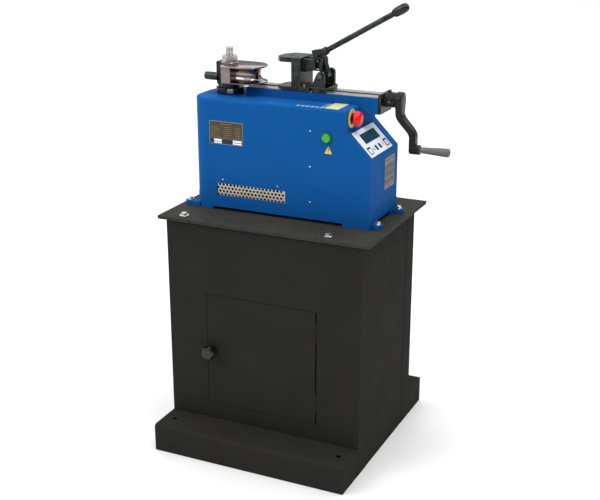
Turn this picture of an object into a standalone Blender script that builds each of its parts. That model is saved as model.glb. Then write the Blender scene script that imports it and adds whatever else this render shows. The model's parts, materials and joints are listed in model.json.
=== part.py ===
"""Tube bender with a powered former spindle, a crank-driven counter-die slide and a steel cabinet.

Metres, +Z up.  The origin is on the floor under the middle of the cabinet body.
+X runs along the slide towards the crank, -Y is the operator's side with the door.
Each object is one physical piece.  A piece that moves has its origin on its joint's axis.
"""
import math

import bmesh
import bpy
from mathutils import Vector

# ---------------------------------------------------------------- driving dimensions
GAP = 0.0003            # clearance between touching pieces
SHEET = 0.003           # sheet metal thickness

CAB_X = 0.290           # half width of the cabinet body
CAB_Y = 0.200           # half depth of the cabinet body
FLANGE = 0.060          # width of the front and rear panels' side returns
SIDE_INSET = 0.0005     # the side panels sit slightly behind the returns
PLINTH_H = 0.081
PLINTH_D = 0.108
PLATE_LOW = 0.6615      # underside of the mounting plate
PLATE_TOP = 0.6710
PLATE_X = 0.3125
PLATE_FRONT = -0.2095
PLATE_REAR = 0.2350

DOOR_LEFT, DOOR_RIGHT = -0.170, 0.160
DOOR_LOW, DOOR_HIGH = 0.131, 0.459
DOOR_DEPTH = 0.008
DOOR_GAP = 0.0015
HINGE_X = DOOR_RIGHT + 0.0020
HINGE_Y = -CAB_Y
HINGE_EDGE = DOOR_RIGHT + 0.0042
KNOB_X, KNOB_Z = -0.154, 0.294

BODY_LEFT, BODY_RIGHT = -0.270, 0.265
BODY_FRONT, BODY_REAR = -0.0905, 0.1130
RADIUS_FRONT, RADIUS_REAR = 0.055, 0.100      # plan radii of the rounded left end
SKIRT_LOW, SKIRT_TOP = 0.6800, 0.7105
EAR_R, EAR_H = 0.0140, 0.0120   # bolt ears of the base
CREASE = 0.9370         # lower edge of the top cover
BODY_TOP = 0.9831
STEP_X = 0.1970         # vertical face that carries the emergency stop
STEP_LOW = 0.9295       # top of the sloping console face
CONSOLE_LOW = 0.8600    # bottom of the sloping console face

SPINDLE_X, SPINDLE_Y = -0.195, 0.008
FLANGE_R, FLANGE_TOP = 0.039, 1.0000
HUB_TOP = 1.0163
KEY_TURN = 28.0         # degrees from the operator's side towards the crank
FORMER_LOW, FORMER_TOP = 1.0170, 1.0655
GROOVE_R = 0.0195
GROOVE_Z = (FORMER_LOW + FORMER_TOP) / 2
LOBE_X, LOBE_Y, LOBE_R = -0.136, 0.004, 0.054    # round end of the former
FLANK_LEFT, WEDGE_X = -0.193, -0.2215           # where its flanks end, and its left tip
BLOCK_RIGHT = -0.165    # the groove stops at this solid block
GEAR_R, PINION_R, TEETH_GEAR, TEETH_PINION = 0.064, 0.020, 32, 10
GEAR_LOW, GEAR_TOP = 0.790, 0.815

SLIDE_Y = 0.038         # middle plane of the slide
BED_LEFT, BED_RIGHT = -0.140, 0.248
BED_HALF = 0.041
BED_TOP = 1.0040
RAIL_TOP = 1.0068
RAIL_INSET = 0.0035     # how far the rails stay behind the faces of the bed
SLOT_HALF = 0.0100
SCREW_Z = 0.9965
SCREW_R = 0.007
JOURNAL_R = 0.005

CARRIAGE_LOW = RAIL_TOP + GAP
YOKE_LEFT, POST_LEFT, POST_RIGHT = -0.049, -0.003, 0.0244
YOKE_HALF = 0.0415
YOKE_TOP = 1.0946
MOUTH_LOW, MOUTH_HIGH = 1.0160, 1.0812
PIVOT_X, PIVOT_Z = 0.082, 1.051
LINK_X, LINK_Z = 0.066, 1.0865
LEVER_HALF = 0.0095
ROD_START = (0.0610, 1.1007)
ROD_END = (0.2900, 1.2307)
ROD_R = 0.0075

HUB_LEFT, HUB_RIGHT = 0.2565, 0.2890
HUB_R = 0.0205
ARM_X, ARM_SHIFT = 0.2955, 0.039
ARM_HEAD_R = 0.0225     # rounded top of the arm
CRANK_STEPS = 28
GRIP_Z = 0.869
GRIP_LEFT, GRIP_RIGHT = 0.3600, 0.4350

ESTOP_Y, ESTOP_Z = -0.0571, 0.9585
START_X, START_Z = 0.1410, 0.9080

# ---------------------------------------------------------------- materials
PAINTS = {
    "cabinet_black": ((0.022, 0.022, 0.021), 0.55, 0.0),
    "plate_black": ((0.030, 0.030, 0.026), 0.50, 0.0),
    "machine_blue": ((0.010, 0.080, 0.300), 0.35, 0.0),
    "black_steel": ((0.025, 0.026, 0.028), 0.40, 0.8),
    "bright_steel": ((0.550, 0.540, 0.520), 0.30, 1.0),
    "zinc": ((0.620, 0.620, 0.600), 0.35, 1.0),
    "cast_grey": ((0.180, 0.185, 0.190), 0.60, 0.3),
    "grip_grey": ((0.120, 0.120, 0.120), 0.50, 0.0),
    "black_plastic": ((0.015, 0.015, 0.015), 0.45, 0.0),
    "red_plastic": ((0.600, 0.010, 0.020), 0.35, 0.0),
    "yellow_plastic": ((0.800, 0.520, 0.020), 0.45, 0.0),
    "green_plastic": ((0.010, 0.350, 0.080), 0.35, 0.0),
    "label_white": ((0.750, 0.770, 0.780), 0.45, 0.0),
    "label_olive": ((0.090, 0.085, 0.060), 0.45, 0.0),
    "display_glass": ((0.020, 0.090, 0.160), 0.10, 0.0),
}


def paint(piece_name, finish):
    """A material of its own for one piece."""
    colour, roughness, metallic = PAINTS[finish]
    material = bpy.data.materials.new(piece_name)
    material.use_nodes = True
    shader = material.node_tree.nodes["Principled BSDF"]
    shader.inputs["Base Color"].default_value = (*colour, 1.0)
    shader.inputs["Roughness"].default_value = roughness
    shader.inputs["Metallic"].default_value = metallic
    material.diffuse_color = (*colour, 1.0)
    return material


# ---------------------------------------------------------------- shapes
AXES = {"x": (1, 2, 0), "y": (0, 2, 1), "z": (0, 1, 2)}


def on_axis(axis, u, v, height):
    """A point from two plan coordinates and a height along the axis."""
    point = [0.0, 0.0, 0.0]
    first, second, along = AXES[axis]
    point[first], point[second], point[along] = u, v, height
    return Vector(point)


def arc(cx, cy, radius, start, end, steps):
    """Points of an arc, both ends included; angles in degrees."""
    angles = [math.radians(start + (end - start) * i / steps) for i in range(steps + 1)]
    return [(cx + radius * math.cos(a), cy + radius * math.sin(a)) for a in angles]


def circle(cx, cy, radius, steps):
    return arc(cx, cy, radius, 0, 360 - 360 / steps, steps - 1)


def loft(rings):
    """A closed mesh through rings of equally many points, with flat ends."""
    mesh = bmesh.new()
    rows = [[mesh.verts.new(point) for point in ring] for ring in rings]
    count = len(rows[0])
    for low, high in zip(rows, rows[1:]):
        for i in range(count):
            j = (i + 1) % count
            mesh.faces.new((low[i], low[j], high[j], high[i]))
    mesh.faces.new(rows[0])
    mesh.faces.new(rows[-1])
    bmesh.ops.recalc_face_normals(mesh, faces=mesh.faces)
    return mesh


def prism(outline, axis, start, end):
    """An outline extruded along an axis."""
    return loft([[on_axis(axis, u, v, h) for u, v in outline] for h in (start, end)])


def box(low, high):
    outline = [(low[0], low[1]), (high[0], low[1]), (high[0], high[1]), (low[0], high[1])]
    return prism(outline, "z", low[2], high[2])


def turned(profile, axis, centre, steps=24):
    """A solid of revolution: the profile lists (radius, place along the axis)."""
    rings = []
    for radius, height in profile:
        rings.append([on_axis(axis, u, v, height) for u, v in circle(*centre, radius, steps)])
    return loft(rings)


def cylinder(radius, start, end, axis, centre, steps=24):
    return turned([(radius, start), (radius, end)], axis, centre, steps)


def ring(inner, outer, start, end, axis, centre, steps=24):
    """A tube with square ends."""
    mesh = bmesh.new()
    corners = [(inner, start), (outer, start), (outer, end), (inner, end)]
    rows = []
    for radius, height in corners:
        points = circle(*centre, radius, steps)
        rows.append([mesh.verts.new(on_axis(axis, u, v, height)) for u, v in points])
    for k in range(4):
        low, high = rows[k], rows[(k + 1) % 4]
        for i in range(steps):
            j = (i + 1) % steps
            mesh.faces.new((low[i], low[j], high[j], high[i]))
    bmesh.ops.recalc_face_normals(mesh, faces=mesh.faces)
    return mesh


# ---------------------------------------------------------------- objects
def add(name, mesh, finish, origin=(0, 0, 0), smooth=False):
    """A named piece from a mesh in world coordinates, with its origin where asked."""
    bmesh.ops.translate(mesh, verts=mesh.verts, vec=-Vector(origin))
    data = bpy.data.meshes.new(name)
    mesh.to_mesh(data)
    mesh.free()
    piece = bpy.data.objects.new(name, data)
    piece.location = origin
    piece.data.materials.append(paint(name, finish))
    bpy.context.scene.collection.objects.link(piece)
    if smooth:
        data.shade_smooth()
        data.set_sharp_from_angle(angle=math.radians(35))
    return piece


def tool(piece, mesh, operation):
    """Combine a piece with a hidden tool body in world coordinates."""
    label = f"{piece.name}_tool_{len(piece.modifiers)}"
    data = bpy.data.meshes.new(label)
    mesh.to_mesh(data)
    mesh.free()
    body = bpy.data.objects.new(label, data)
    body.hide_render = True
    body.display_type = "WIRE"
    bpy.context.scene.collection.objects.link(body)
    modifier = piece.modifiers.new(label, "BOOLEAN")
    modifier.operation = operation
    modifier.solver = "EXACT"
    modifier.object = body


def cut(piece, *meshes):
    for mesh in meshes:
        tool(piece, mesh, "DIFFERENCE")


def join(piece, *meshes):
    for mesh in meshes:
        tool(piece, mesh, "UNION")


def hex_ring(centre, radius, turn=0):
    """A hexagon as twelve points, so that it lofts onto twelve-sided rounds; turn in degrees."""
    corners = arc(*centre, radius, turn, turn + 300, 5)
    points = []
    for i, corner in enumerate(corners):
        other = corners[(i + 1) % 6]
        points += [corner, ((corner[0] + other[0]) / 2, (corner[1] + other[1]) / 2)]
    return points


def hex_bolt(name, axis, centre, seat, sign, head_r, washer_r=0.0, shank_r=0.0, depth=0.0):
    """A hexagon-head bolt with its washer and shank in one piece; sign is the head's side."""
    washer_t = 0.002 if washer_r else 0.0
    rings = []
    if depth:
        rings += [(circle(*centre, shank_r, 12), -depth), (circle(*centre, shank_r, 12), 0)]
    if washer_r:
        rings += [(circle(*centre, washer_r, 12), 0), (circle(*centre, washer_r, 12), washer_t)]
    head = hex_ring(centre, head_r)
    top = washer_t + 0.65 * head_r
    rings += [(head, washer_t), (head, top), (circle(*centre, head_r * 0.85, 12), top + 0.0008)]
    points = [[on_axis(axis, u, v, seat + sign * h) for u, v in outline] for outline, h in rings]
    return add(name, loft(points), "zinc")


# ---------------------------------------------------------------- cabinet
def cabinet_floor():
    reach_x = CAB_X - SIDE_INSET - SHEET - GAP
    reach_y = CAB_Y - SHEET - GAP
    add("cabinet_floor", box((-reach_x, -reach_y, 0.0), (reach_x, reach_y, SHEET)), "cabinet_black")


def wrap_panel(name, side):
    """A front or rear panel folded round the corners of the cabinet; side is -1 or +1."""
    face = side * CAB_Y
    edge = side * (CAB_Y - FLANGE)
    inner = side * (CAB_Y - SHEET)
    outline = [(-CAB_X, edge), (-CAB_X, face), (CAB_X, face), (CAB_X, edge),
               (CAB_X - SHEET, edge), (CAB_X - SHEET, inner),
               (-CAB_X + SHEET, inner), (-CAB_X + SHEET, edge)]
    return add(name, prism(outline, "z", 0.0, PLATE_LOW - GAP), "cabinet_black")


def cabinet_panels():
    front = wrap_panel("cabinet_front", -1)
    opening = box((DOOR_LEFT - DOOR_GAP, -CAB_Y - 0.01, DOOR_LOW - DOOR_GAP),
                  (HINGE_EDGE, -CAB_Y + 0.01, DOOR_HIGH + DOOR_GAP))
    cut(front, opening)
    wrap_panel("cabinet_back", 1)
    reach = CAB_Y - FLANGE - 0.0010
    for name, side in (("cabinet_left", -1), ("cabinet_right", 1)):
        outer, inner = side * (CAB_X - SIDE_INSET), side * (CAB_X - SIDE_INSET - SHEET)
        low = (min(outer, inner), -reach, 0.0)
        high = (max(outer, inner), reach, PLATE_LOW - GAP)
        add(name, box(low, high), "cabinet_black")
    return front


def plinth(name, side):
    """A folded foot, open underneath, along the front or the rear of the cabinet."""
    near = side * (CAB_Y + GAP)
    far = side * (CAB_Y + PLINTH_D)
    radius = 0.010
    rounding = arc(far - side * radius, PLINTH_H - radius, radius, 180 if side < 0 else 0, 90, 4)
    outer = [(near, 0.0), (far, 0.0)] + rounding + [(near, PLINTH_H)]
    foot = add(name, prism(outer, "x", -CAB_X, CAB_X), "cabinet_black")
    hollow_low = (-CAB_X + SHEET, min(near + side * SHEET, far - side * SHEET), -0.01)
    hollow_high = (CAB_X - SHEET, max(near + side * SHEET, far - side * SHEET), PLINTH_H - SHEET)
    cut(foot, box(hollow_low, hollow_high))
    for x in (-CAB_X + 0.035, CAB_X - 0.035):
        centre = (x, (near + far) / 2)
        cut(foot, cylinder(0.0065, PLINTH_H - 0.01, PLINTH_H + 0.01, "z", centre, 12))


def mounting_plate():
    plate = add("mounting_plate", box((-PLATE_X, PLATE_FRONT, PLATE_LOW),
                                      (PLATE_X, PLATE_REAR, PLATE_TOP)), "plate_black")
    places = {"front_left": (-0.2445, -0.1800), "front_right": (0.1860, -0.1775),
              "rear_left": (-0.2445, 0.1780), "rear_right": (0.1860, 0.1780)}
    for corner, centre in places.items():
        cut(plate, cylinder(0.0048, PLATE_LOW - 0.01, PLATE_TOP + 0.01, "z", centre, 12))
        hex_bolt(f"plate_bolt_{corner}", "z", centre, PLATE_TOP + GAP, 1, 0.0090,
                 washer_r=0.0135, shank_r=0.0042, depth=0.020)


def door(frame_panel):
    """The folded door, with its half of the two hinges; the other half is on the frame panel."""
    axis = (HINGE_X, HINGE_Y, (DOOR_LOW + DOOR_HIGH) / 2)
    back = -CAB_Y + DOOR_DEPTH
    panel = add("door", box((DOOR_LEFT, -CAB_Y, DOOR_LOW), (DOOR_RIGHT, back, DOOR_HIGH)),
                "cabinet_black", axis)
    wall = SHEET * 0.8
    cut(panel, box((DOOR_LEFT + wall, -CAB_Y + wall, DOOR_LOW + wall),
                   (DOOR_RIGHT - wall, back + 0.01, DOOR_HIGH - wall)))
    cut(panel, cylinder(0.0056, -CAB_Y - 0.01, -CAB_Y + 0.01, "y", (KNOB_X, KNOB_Z), 16))
    barrel = [(HINGE_X - 0.0014, -0.0005), (HINGE_X - 0.0008, -0.0016), (HINGE_X + 0.0008, -0.0016),
              (HINGE_X + 0.0016, -0.0008)]
    barrel = [(x, HINGE_Y + y) for x, y in barrel]
    frame_leaf = barrel + [(HINGE_X + 0.0016, HINGE_Y + SHEET - 0.0005),
                           (HINGE_X + 0.023, HINGE_Y + SHEET - 0.0005),
                           (HINGE_X + 0.023, HINGE_Y + 0.0053), (HINGE_X - 0.0008, HINGE_Y + 0.0053),
                           (HINGE_X - 0.0008, HINGE_Y + 0.0010), (HINGE_X - 0.0014, HINGE_Y + 0.0004)]
    door_leaf = barrel + [(HINGE_X + 0.0016, HINGE_Y + 0.0004), (HINGE_X + 0.0008, HINGE_Y + 0.0010),
                          (HINGE_X - 0.0006, HINGE_Y + 0.0010), (HINGE_X - 0.0006, HINGE_Y + 0.0076),
                          (HINGE_X - 0.0030, HINGE_Y + 0.0076), (HINGE_X - 0.0030, HINGE_Y + 0.0004)]
    for place, low in (("lower", DOOR_LOW + 0.030), ("upper", DOOR_HIGH - 0.090)):
        join(frame_panel, prism(frame_leaf, "z", low, low + 0.0297))
        join(panel, prism(door_leaf, "z", low + 0.030, low + 0.060))


def lobed(centre, radius, lobes, depth, steps):
    """A plan outline with rounded lobes."""
    points = []
    for i in range(steps):
        angle = 2 * math.pi * i / steps
        reach = radius * (1 - depth * (0.5 - 0.5 * math.cos(lobes * angle)))
        points.append((centre[0] + reach * math.cos(angle), centre[1] + reach * math.sin(angle)))
    return points


def door_latch():
    """The hand knob with its stem, and the cam that it turns behind the frame."""
    centre = (KNOB_X, KNOB_Z)
    axis = (KNOB_X, -CAB_Y, KNOB_Z)
    stations = [(0.0150, -0.2035), (0.0195, -0.2120), (0.0210, -0.2220),
                (0.0205, -0.2300), (0.0150, -0.2345)]
    rings = [[on_axis("y", u, v, y) for u, v in lobed(centre, r, 5, 0.22, 30)] for r, y in stations]
    knob = add("door_knob", loft(rings), "black_plastic", axis, smooth=True)
    join(knob, cylinder(0.0052, -0.2045, -0.1880, "y", centre, 16))
    cam = [(KNOB_X - 0.010, KNOB_Z + 0.010), (KNOB_X + 0.010, KNOB_Z + 0.010),
           (KNOB_X + 0.010, KNOB_Z - 0.034), (KNOB_X - 0.010, KNOB_Z - 0.034)]
    join(knob, prism(cam, "y", -0.1900, -0.1870))


# ---------------------------------------------------------------- machine housing
def body_outline(grow, right=BODY_RIGHT):
    """The housing's plan outline, grown outwards by the given amount."""
    front, rear = BODY_FRONT - grow, BODY_REAR + grow
    left = BODY_LEFT - grow
    r_front, r_rear = RADIUS_FRONT + grow, RADIUS_REAR + grow
    outline = [(right, front), (right, rear)]
    outline += arc(left + r_rear, rear - r_rear, r_rear, 90, 180, 14)
    outline += arc(left + r_front, front + r_front, r_front, 180, 270, 10)
    return outline


def base_skirt():
    """The cast ring that the housing stands on, with feet at its corners and bolt ears."""
    skirt = add("base_skirt", prism(body_outline(0.001, BODY_RIGHT + 0.001), "z",
                                    PLATE_TOP + GAP, SKIRT_TOP), "machine_blue")
    cut(skirt, prism(body_outline(-0.010, BODY_RIGHT - 0.010), "z", PLATE_TOP - 0.01, SKIRT_TOP + 0.01))
    foot_left, foot_right = -0.203, 0.1876
    ears = {"front_left": (-0.2870, -0.0700, 0.036), "rear_left": (-0.2575, 0.0955, 0.040),
            "front_right": (0.2790, -0.0660, -0.0245), "rear_right": (0.2790, 0.0930, -0.0245)}
    low, high = PLATE_TOP + GAP, PLATE_TOP + EAR_H
    for x, y, reach in ears.values():
        join(skirt, box((min(x, x + reach), y - EAR_R, low), (max(x, x + reach), y + EAR_R, high)))
        join(skirt, cylinder(EAR_R, low, high, "z", (x, y), 20))
    under = SKIRT_LOW + 0.004
    cut(skirt, box((foot_left, -0.2, PLATE_TOP - 0.01), (foot_right, 0.2, SKIRT_LOW)))
    cut(skirt, box((0.20, -0.042, PLATE_TOP - 0.01), (0.30, 0.066, under)))
    cut(skirt, box((-0.30, -0.042, PLATE_TOP - 0.01), (-0.20, 0.060, under)))
    for corner, (x, y, _) in ears.items():
        cut(skirt, cylinder(0.0047, PLATE_TOP - 0.01, PLATE_TOP + 0.03, "z", (x, y), 12))
        hex_bolt(f"base_bolt_{corner}", "z", (x, y), PLATE_TOP + EAR_H + GAP, 1, 0.0075,
                 washer_r=0.0095, shank_r=0.0042, depth=0.011)


def side_outline(left):
    """The outline of a front or rear panel, with the sloping corner under the console."""
    low = SKIRT_TOP + GAP
    return [(left, low), (BODY_RIGHT, low), (BODY_RIGHT, CONSOLE_LOW), (STEP_X, STEP_LOW),
            (STEP_X, CREASE), (left, CREASE)]


def housing_panels():
    front = add("front_panel", prism(side_outline(BODY_LEFT + RADIUS_FRONT + GAP), "y",
                                     BODY_FRONT, BODY_FRONT + SHEET), "machine_blue")
    cut(front, box((-0.1900, BODY_FRONT - 0.01, SKIRT_TOP + 0.0025), (0.0197, BODY_FRONT + 0.01, 0.7480)))
    cut(front, cylinder(0.0124, BODY_FRONT - 0.01, BODY_FRONT + 0.01, "y", (START_X, START_Z), 20))
    rear = add("rear_panel", prism(side_outline(BODY_LEFT + RADIUS_REAR + GAP), "y",
                                   BODY_REAR - SHEET, BODY_REAR), "machine_blue")
    cut(rear, cylinder(0.0103, BODY_REAR - 0.01, BODY_REAR + 0.01, "y", (0.205, 0.745), 20))
    outer = body_outline(0.0)[2:]
    inner = body_outline(-SHEET)[2:]
    add("left_end_panel", prism(outer + inner[::-1], "z", SKIRT_TOP + GAP, CREASE), "machine_blue")
    add("housing_floor", prism(body_outline(-SHEET - 2 * GAP, BODY_RIGHT - SHEET - 2 * GAP), "z",
                               SKIRT_TOP + GAP, SKIRT_TOP + GAP + SHEET), "cast_grey")


def console_panel():
    """The folded end panel: upright end, sloping console face and a short upright lip."""
    low = SKIRT_TOP + GAP
    outer = [(BODY_RIGHT, low), (BODY_RIGHT, CONSOLE_LOW), (STEP_X, STEP_LOW), (STEP_X, CREASE)]
    inner = [(STEP_X - SHEET, CREASE), (STEP_X - SHEET, STEP_LOW - 0.0012),
             (BODY_RIGHT - SHEET, CONSOLE_LOW - 0.0012), (BODY_RIGHT - SHEET, low)]
    add("console_panel", prism(outer + inner, "y", BODY_FRONT + SHEET + GAP, BODY_REAR - SHEET - GAP),
        "machine_blue")


def top_cover():
    """The lid over the housing, with rounded upper edges."""
    rounding = 0.006
    stations = [(0.0, CREASE + GAP), (0.0, BODY_TOP - rounding)]
    for angle in (30, 60, 90):
        a = math.radians(angle)
        stations.append((rounding * (math.cos(a) - 1), BODY_TOP - rounding + rounding * math.sin(a)))
    rings = []
    for grow, height in stations:
        outline = body_outline(grow, STEP_X + grow * 0.5)
        rings.append([Vector((x, y, height)) for x, y in outline])
    cover = add("top_cover", loft(rings), "machine_blue", smooth=True)
    wall = 0.004
    cut(cover, prism(body_outline(-wall, STEP_X - wall), "z", CREASE - 0.01, BODY_TOP - wall))
    cut(cover, cylinder(0.0200, BODY_TOP - 0.02, BODY_TOP + 0.02, "z", (SPINDLE_X, SPINDLE_Y), 24))
    cut(cover, cylinder(0.0090, STEP_X - 0.02, STEP_X + 0.02, "x", (ESTOP_Y, ESTOP_Z), 16))


def grille_and_plates():
    """The vent plate behind its window and the flat plates on the housing."""
    add("vent_grille", box((-0.1980, BODY_FRONT + SHEET + GAP, SKIRT_TOP + 0.0036),
                           (0.0280, BODY_FRONT + SHEET + 0.0018, 0.7560)), "bright_steel")
    face = BODY_FRONT - GAP
    add("rating_plate", box((-0.2088, face - 0.0010, 0.8593), (-0.1056, face, 0.9231)), "label_olive")


def slope_point(along, above):
    """A point on the sloping console face: distance down the slope, and height above it."""
    run, drop = BODY_RIGHT - STEP_X, STEP_LOW - CONSOLE_LOW
    length = math.hypot(run, drop)
    return (STEP_X + (along * run + above * drop) / length,
            STEP_LOW + (-along * drop + above * run) / length)


def slope_plate(name, along, across, above, finish):
    """A flat plate on the console face."""
    outline = [slope_point(along[0], above[0]), slope_point(along[1], above[0]),
               slope_point(along[1], above[1]), slope_point(along[0], above[1])]
    add(name, prism(outline, "y", *across), finish)


def console_controls():
    slope_plate("control_membrane", (0.0105, 0.0935), (-0.0760, 0.0754), (GAP, GAP + 0.0010), "label_white")
    slope_plate("display", (0.0260, 0.0520), (-0.0458, 0.0496), (0.0016, 0.0026), "display_glass")


def emergency_stop():
    centre = (ESTOP_Y, ESTOP_Z)
    pivot = (STEP_X, ESTOP_Y, ESTOP_Z)
    add("estop_disc", ring(0.0090, 0.0248, STEP_X + GAP, STEP_X + 0.0022, "x", centre, 28), "yellow_plastic")
    add("estop_stem", cylinder(0.0080, STEP_X - 0.020, STEP_X + 0.0100, "x", centre, 16),
        "black_plastic", pivot)
    start = STEP_X + 0.0102
    profile = [(0.0108, 0.0), (0.0112, 0.0008), (0.0196, 0.0010), (0.0200, 0.0022), (0.0200, 0.0085),
               (0.0190, 0.0125), (0.0150, 0.0158), (0.0080, 0.0176), (0.0020, 0.0180)]
    head = [(radius, start + along) for radius, along in profile]
    add("estop_button", turned(head, "x", centre, 28), "red_plastic", pivot, smooth=True)


def start_button():
    centre = (START_X, START_Z)
    face = BODY_FRONT - GAP
    add("start_bezel", ring(0.0124, 0.0152, face - 0.0050, face, "y", centre, 24), "black_plastic")
    profile = [(0.0100, face - 0.0070), (0.0118, face - 0.0062), (0.0118, face + 0.0080)]
    add("start_button", turned(profile, "y", centre, 24), "green_plastic",
        (START_X, face, START_Z), smooth=True)


# ---------------------------------------------------------------- drive inside the housing
def gear_outline(centre, pitch_r, teeth, phase):
    """Straight-sided teeth with generous backlash."""
    module = 2 * pitch_r / teeth
    tip, root = pitch_r + 0.70 * module, pitch_r - 0.95 * module
    pitch = 2 * math.pi / teeth
    points = []
    for k in range(teeth):
        middle = phase + k * pitch
        for radius, offset in ((root, -0.27), (tip, -0.11), (tip, 0.11), (root, 0.27)):
            angle = middle + offset * pitch
            points.append((centre[0] + radius * math.cos(angle), centre[1] + radius * math.sin(angle)))
    return points


def key_block(half, near, far, low, high):
    """A block in the flange's rim, between two distances from the spindle axis."""
    turn = math.radians(KEY_TURN)
    outward, across = (math.sin(turn), -math.cos(turn)), (math.cos(turn), math.sin(turn))
    corners = [(near, -half), (far, -half), (far, half), (near, half)]
    outline = [(SPINDLE_X + r * outward[0] + w * across[0], SPINDLE_Y + r * outward[1] + w * across[1])
               for r, w in corners]
    return prism(outline, "z", low, high)


def spindle_drive():
    centre = (SPINDLE_X, SPINDLE_Y)
    origin = (SPINDLE_X, SPINDLE_Y, BODY_TOP)
    profile = [(0.0180, 0.742), (0.0180, BODY_TOP + 0.0005), (FLANGE_R, BODY_TOP + 0.0007),
               (FLANGE_R, FLANGE_TOP), (0.0260, FLANGE_TOP + 0.0005), (0.0260, HUB_TOP),
               (0.0145, HUB_TOP + 0.0001), (0.0145, FORMER_TOP - 0.0015),
               (0.0105, FORMER_TOP - 0.0014), (0.0105, 1.1080), (0.0090, 1.1098)]
    shaft = add("spindle", turned(profile, "z", centre, 32), "black_steel", origin, smooth=True)
    cut(shaft, key_block(0.0083, 0.0335, 0.0500, 0.9860, FLANGE_TOP + 0.0100))
    add("spindle_key", key_block(0.0080, 0.0338, 0.0398, 0.9863, FLANGE_TOP - 0.0005),
        "bright_steel", origin)
    gear = add("drive_gear", prism(gear_outline(centre, GEAR_R, TEETH_GEAR, 0.0), "z", GEAR_LOW, GEAR_TOP),
               "bright_steel", origin)
    cut(gear, cylinder(0.0183, GEAR_LOW - 0.01, GEAR_TOP + 0.01, "z", centre, 32))
    pinion_x = SPINDLE_X + GEAR_R + PINION_R
    phase = math.pi + math.pi / TEETH_PINION
    teeth = gear_outline((pinion_x, SPINDLE_Y), PINION_R, TEETH_PINION, phase)
    pinion = add("pinion", prism(teeth, "z", GEAR_LOW - 0.002, GEAR_TOP + 0.002), "bright_steel",
                 (pinion_x, SPINDLE_Y, GEAR_LOW))
    join(pinion, cylinder(0.0080, 0.7600, GEAR_LOW, "z", (pinion_x, SPINDLE_Y), 16))
    low = 0.9560
    bearing = add("spindle_bearing", box((-0.2300, -0.0600, low), (-0.1500, 0.0760, low + 0.008)),
                  "cast_grey")
    join(bearing, cylinder(0.0320, low - 0.012, low + 0.010, "z", centre, 28))
    cut(bearing, cylinder(0.0183, low - 0.02, low + 0.02, "z", centre, 32))
    case = add("gearbox", box((-0.1450, -0.050, SKIRT_TOP + 0.0036), (-0.0400, 0.066, 0.7840)), "cast_grey")
    cut(case, cylinder(0.0083, 0.7590, 0.80, "z", (pinion_x, SPINDLE_Y), 16))
    middle = (0.010, 0.7710)
    motor = [(0.0540, -0.0397), (0.0540, -0.0300), (0.0500, -0.0298), (0.0500, 0.1300), (0.0520, 0.1302),
             (0.0520, 0.1550), (0.0400, 0.1650)]
    drive = add("motor", turned(motor, "x", middle, 28), "cast_grey", smooth=True)
    join(drive, box((0.020, -0.025, 0.8000), (0.090, 0.045, 0.8500)))
    gland = [(0.0100, BODY_REAR - 0.012), (0.0100, BODY_REAR + GAP), (0.0135, BODY_REAR + GAP),
             (0.0135, BODY_REAR + 0.007), (0.0110, BODY_REAR + 0.009), (0.0085, BODY_REAR + 0.022)]
    inlet = add("cable_gland", turned(gland, "y", (0.205, 0.745), 20), "black_plastic", smooth=True)
    cut(inlet, cylinder(0.0045, BODY_REAR + 0.002, BODY_REAR + 0.03, "y", (0.205, 0.745), 16))


# ---------------------------------------------------------------- former on the spindle
def former_outline(inset):
    """The former's plan outline: a half round with two straight flanks and a blunt point."""
    reach = LOBE_R - inset
    corner = FLANK_LEFT + inset * (WEDGE_X - FLANK_LEFT) / LOBE_R * -0.5
    tip = WEDGE_X + inset * 0.25
    outline = arc(LOBE_X, LOBE_Y, reach, -90, 90, 28)
    return outline + [(corner, LOBE_Y + reach), (tip, LOBE_Y), (corner, LOBE_Y - reach)]


def former():
    centre = (SPINDLE_X, SPINDLE_Y)
    origin = (SPINDLE_X, SPINDLE_Y, BODY_TOP)
    stations = [(0.0018, FORMER_LOW), (0.0, FORMER_LOW + 0.0018)]
    for k in range(9):
        angle = math.radians(-90 + 22.5 * k)
        stations.append((GROOVE_R * math.cos(angle), GROOVE_Z + GROOVE_R * math.sin(angle)))
    stations += [(0.0, FORMER_TOP - 0.0018), (0.0018, FORMER_TOP)]
    rings = [[Vector((x, y, z)) for x, y in former_outline(inset)] for inset, z in stations]
    die = add("former", loft(rings), "bright_steel", origin, smooth=True)
    reach = LOBE_R - 0.0015
    block = [(BLOCK_RIGHT, LOBE_Y - reach), (BLOCK_RIGHT, LOBE_Y + reach),
             (FLANK_LEFT + 0.0004, LOBE_Y + reach), (WEDGE_X + 0.0004, LOBE_Y),
             (FLANK_LEFT + 0.0004, LOBE_Y - reach)]
    join(die, prism(block, "z", FORMER_LOW + 0.0012, FORMER_TOP - 0.0012))
    cut(die, cylinder(0.0148, FORMER_LOW - 0.01, FORMER_TOP + 0.01, "z", centre, 24))
    add("former_washer", ring(0.0108, 0.0235, FORMER_TOP + GAP, FORMER_TOP + 0.0028, "z", centre, 28),
        "bright_steel", origin)
    low = FORMER_TOP + 0.0031
    flats = hex_ring(centre, 0.0215, 30)
    nut_rings = [(flats, low), (flats, low + 0.017), (arc(*centre, 0.0188, 30, 360, 11), low + 0.018)]
    nut = add("former_nut", loft([[Vector((x, y, h)) for x, y in outline] for outline, h in nut_rings]),
              "bright_steel", origin)
    cut(nut, cylinder(0.0108, low - 0.01, low + 0.03, "z", centre, 20))


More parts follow.
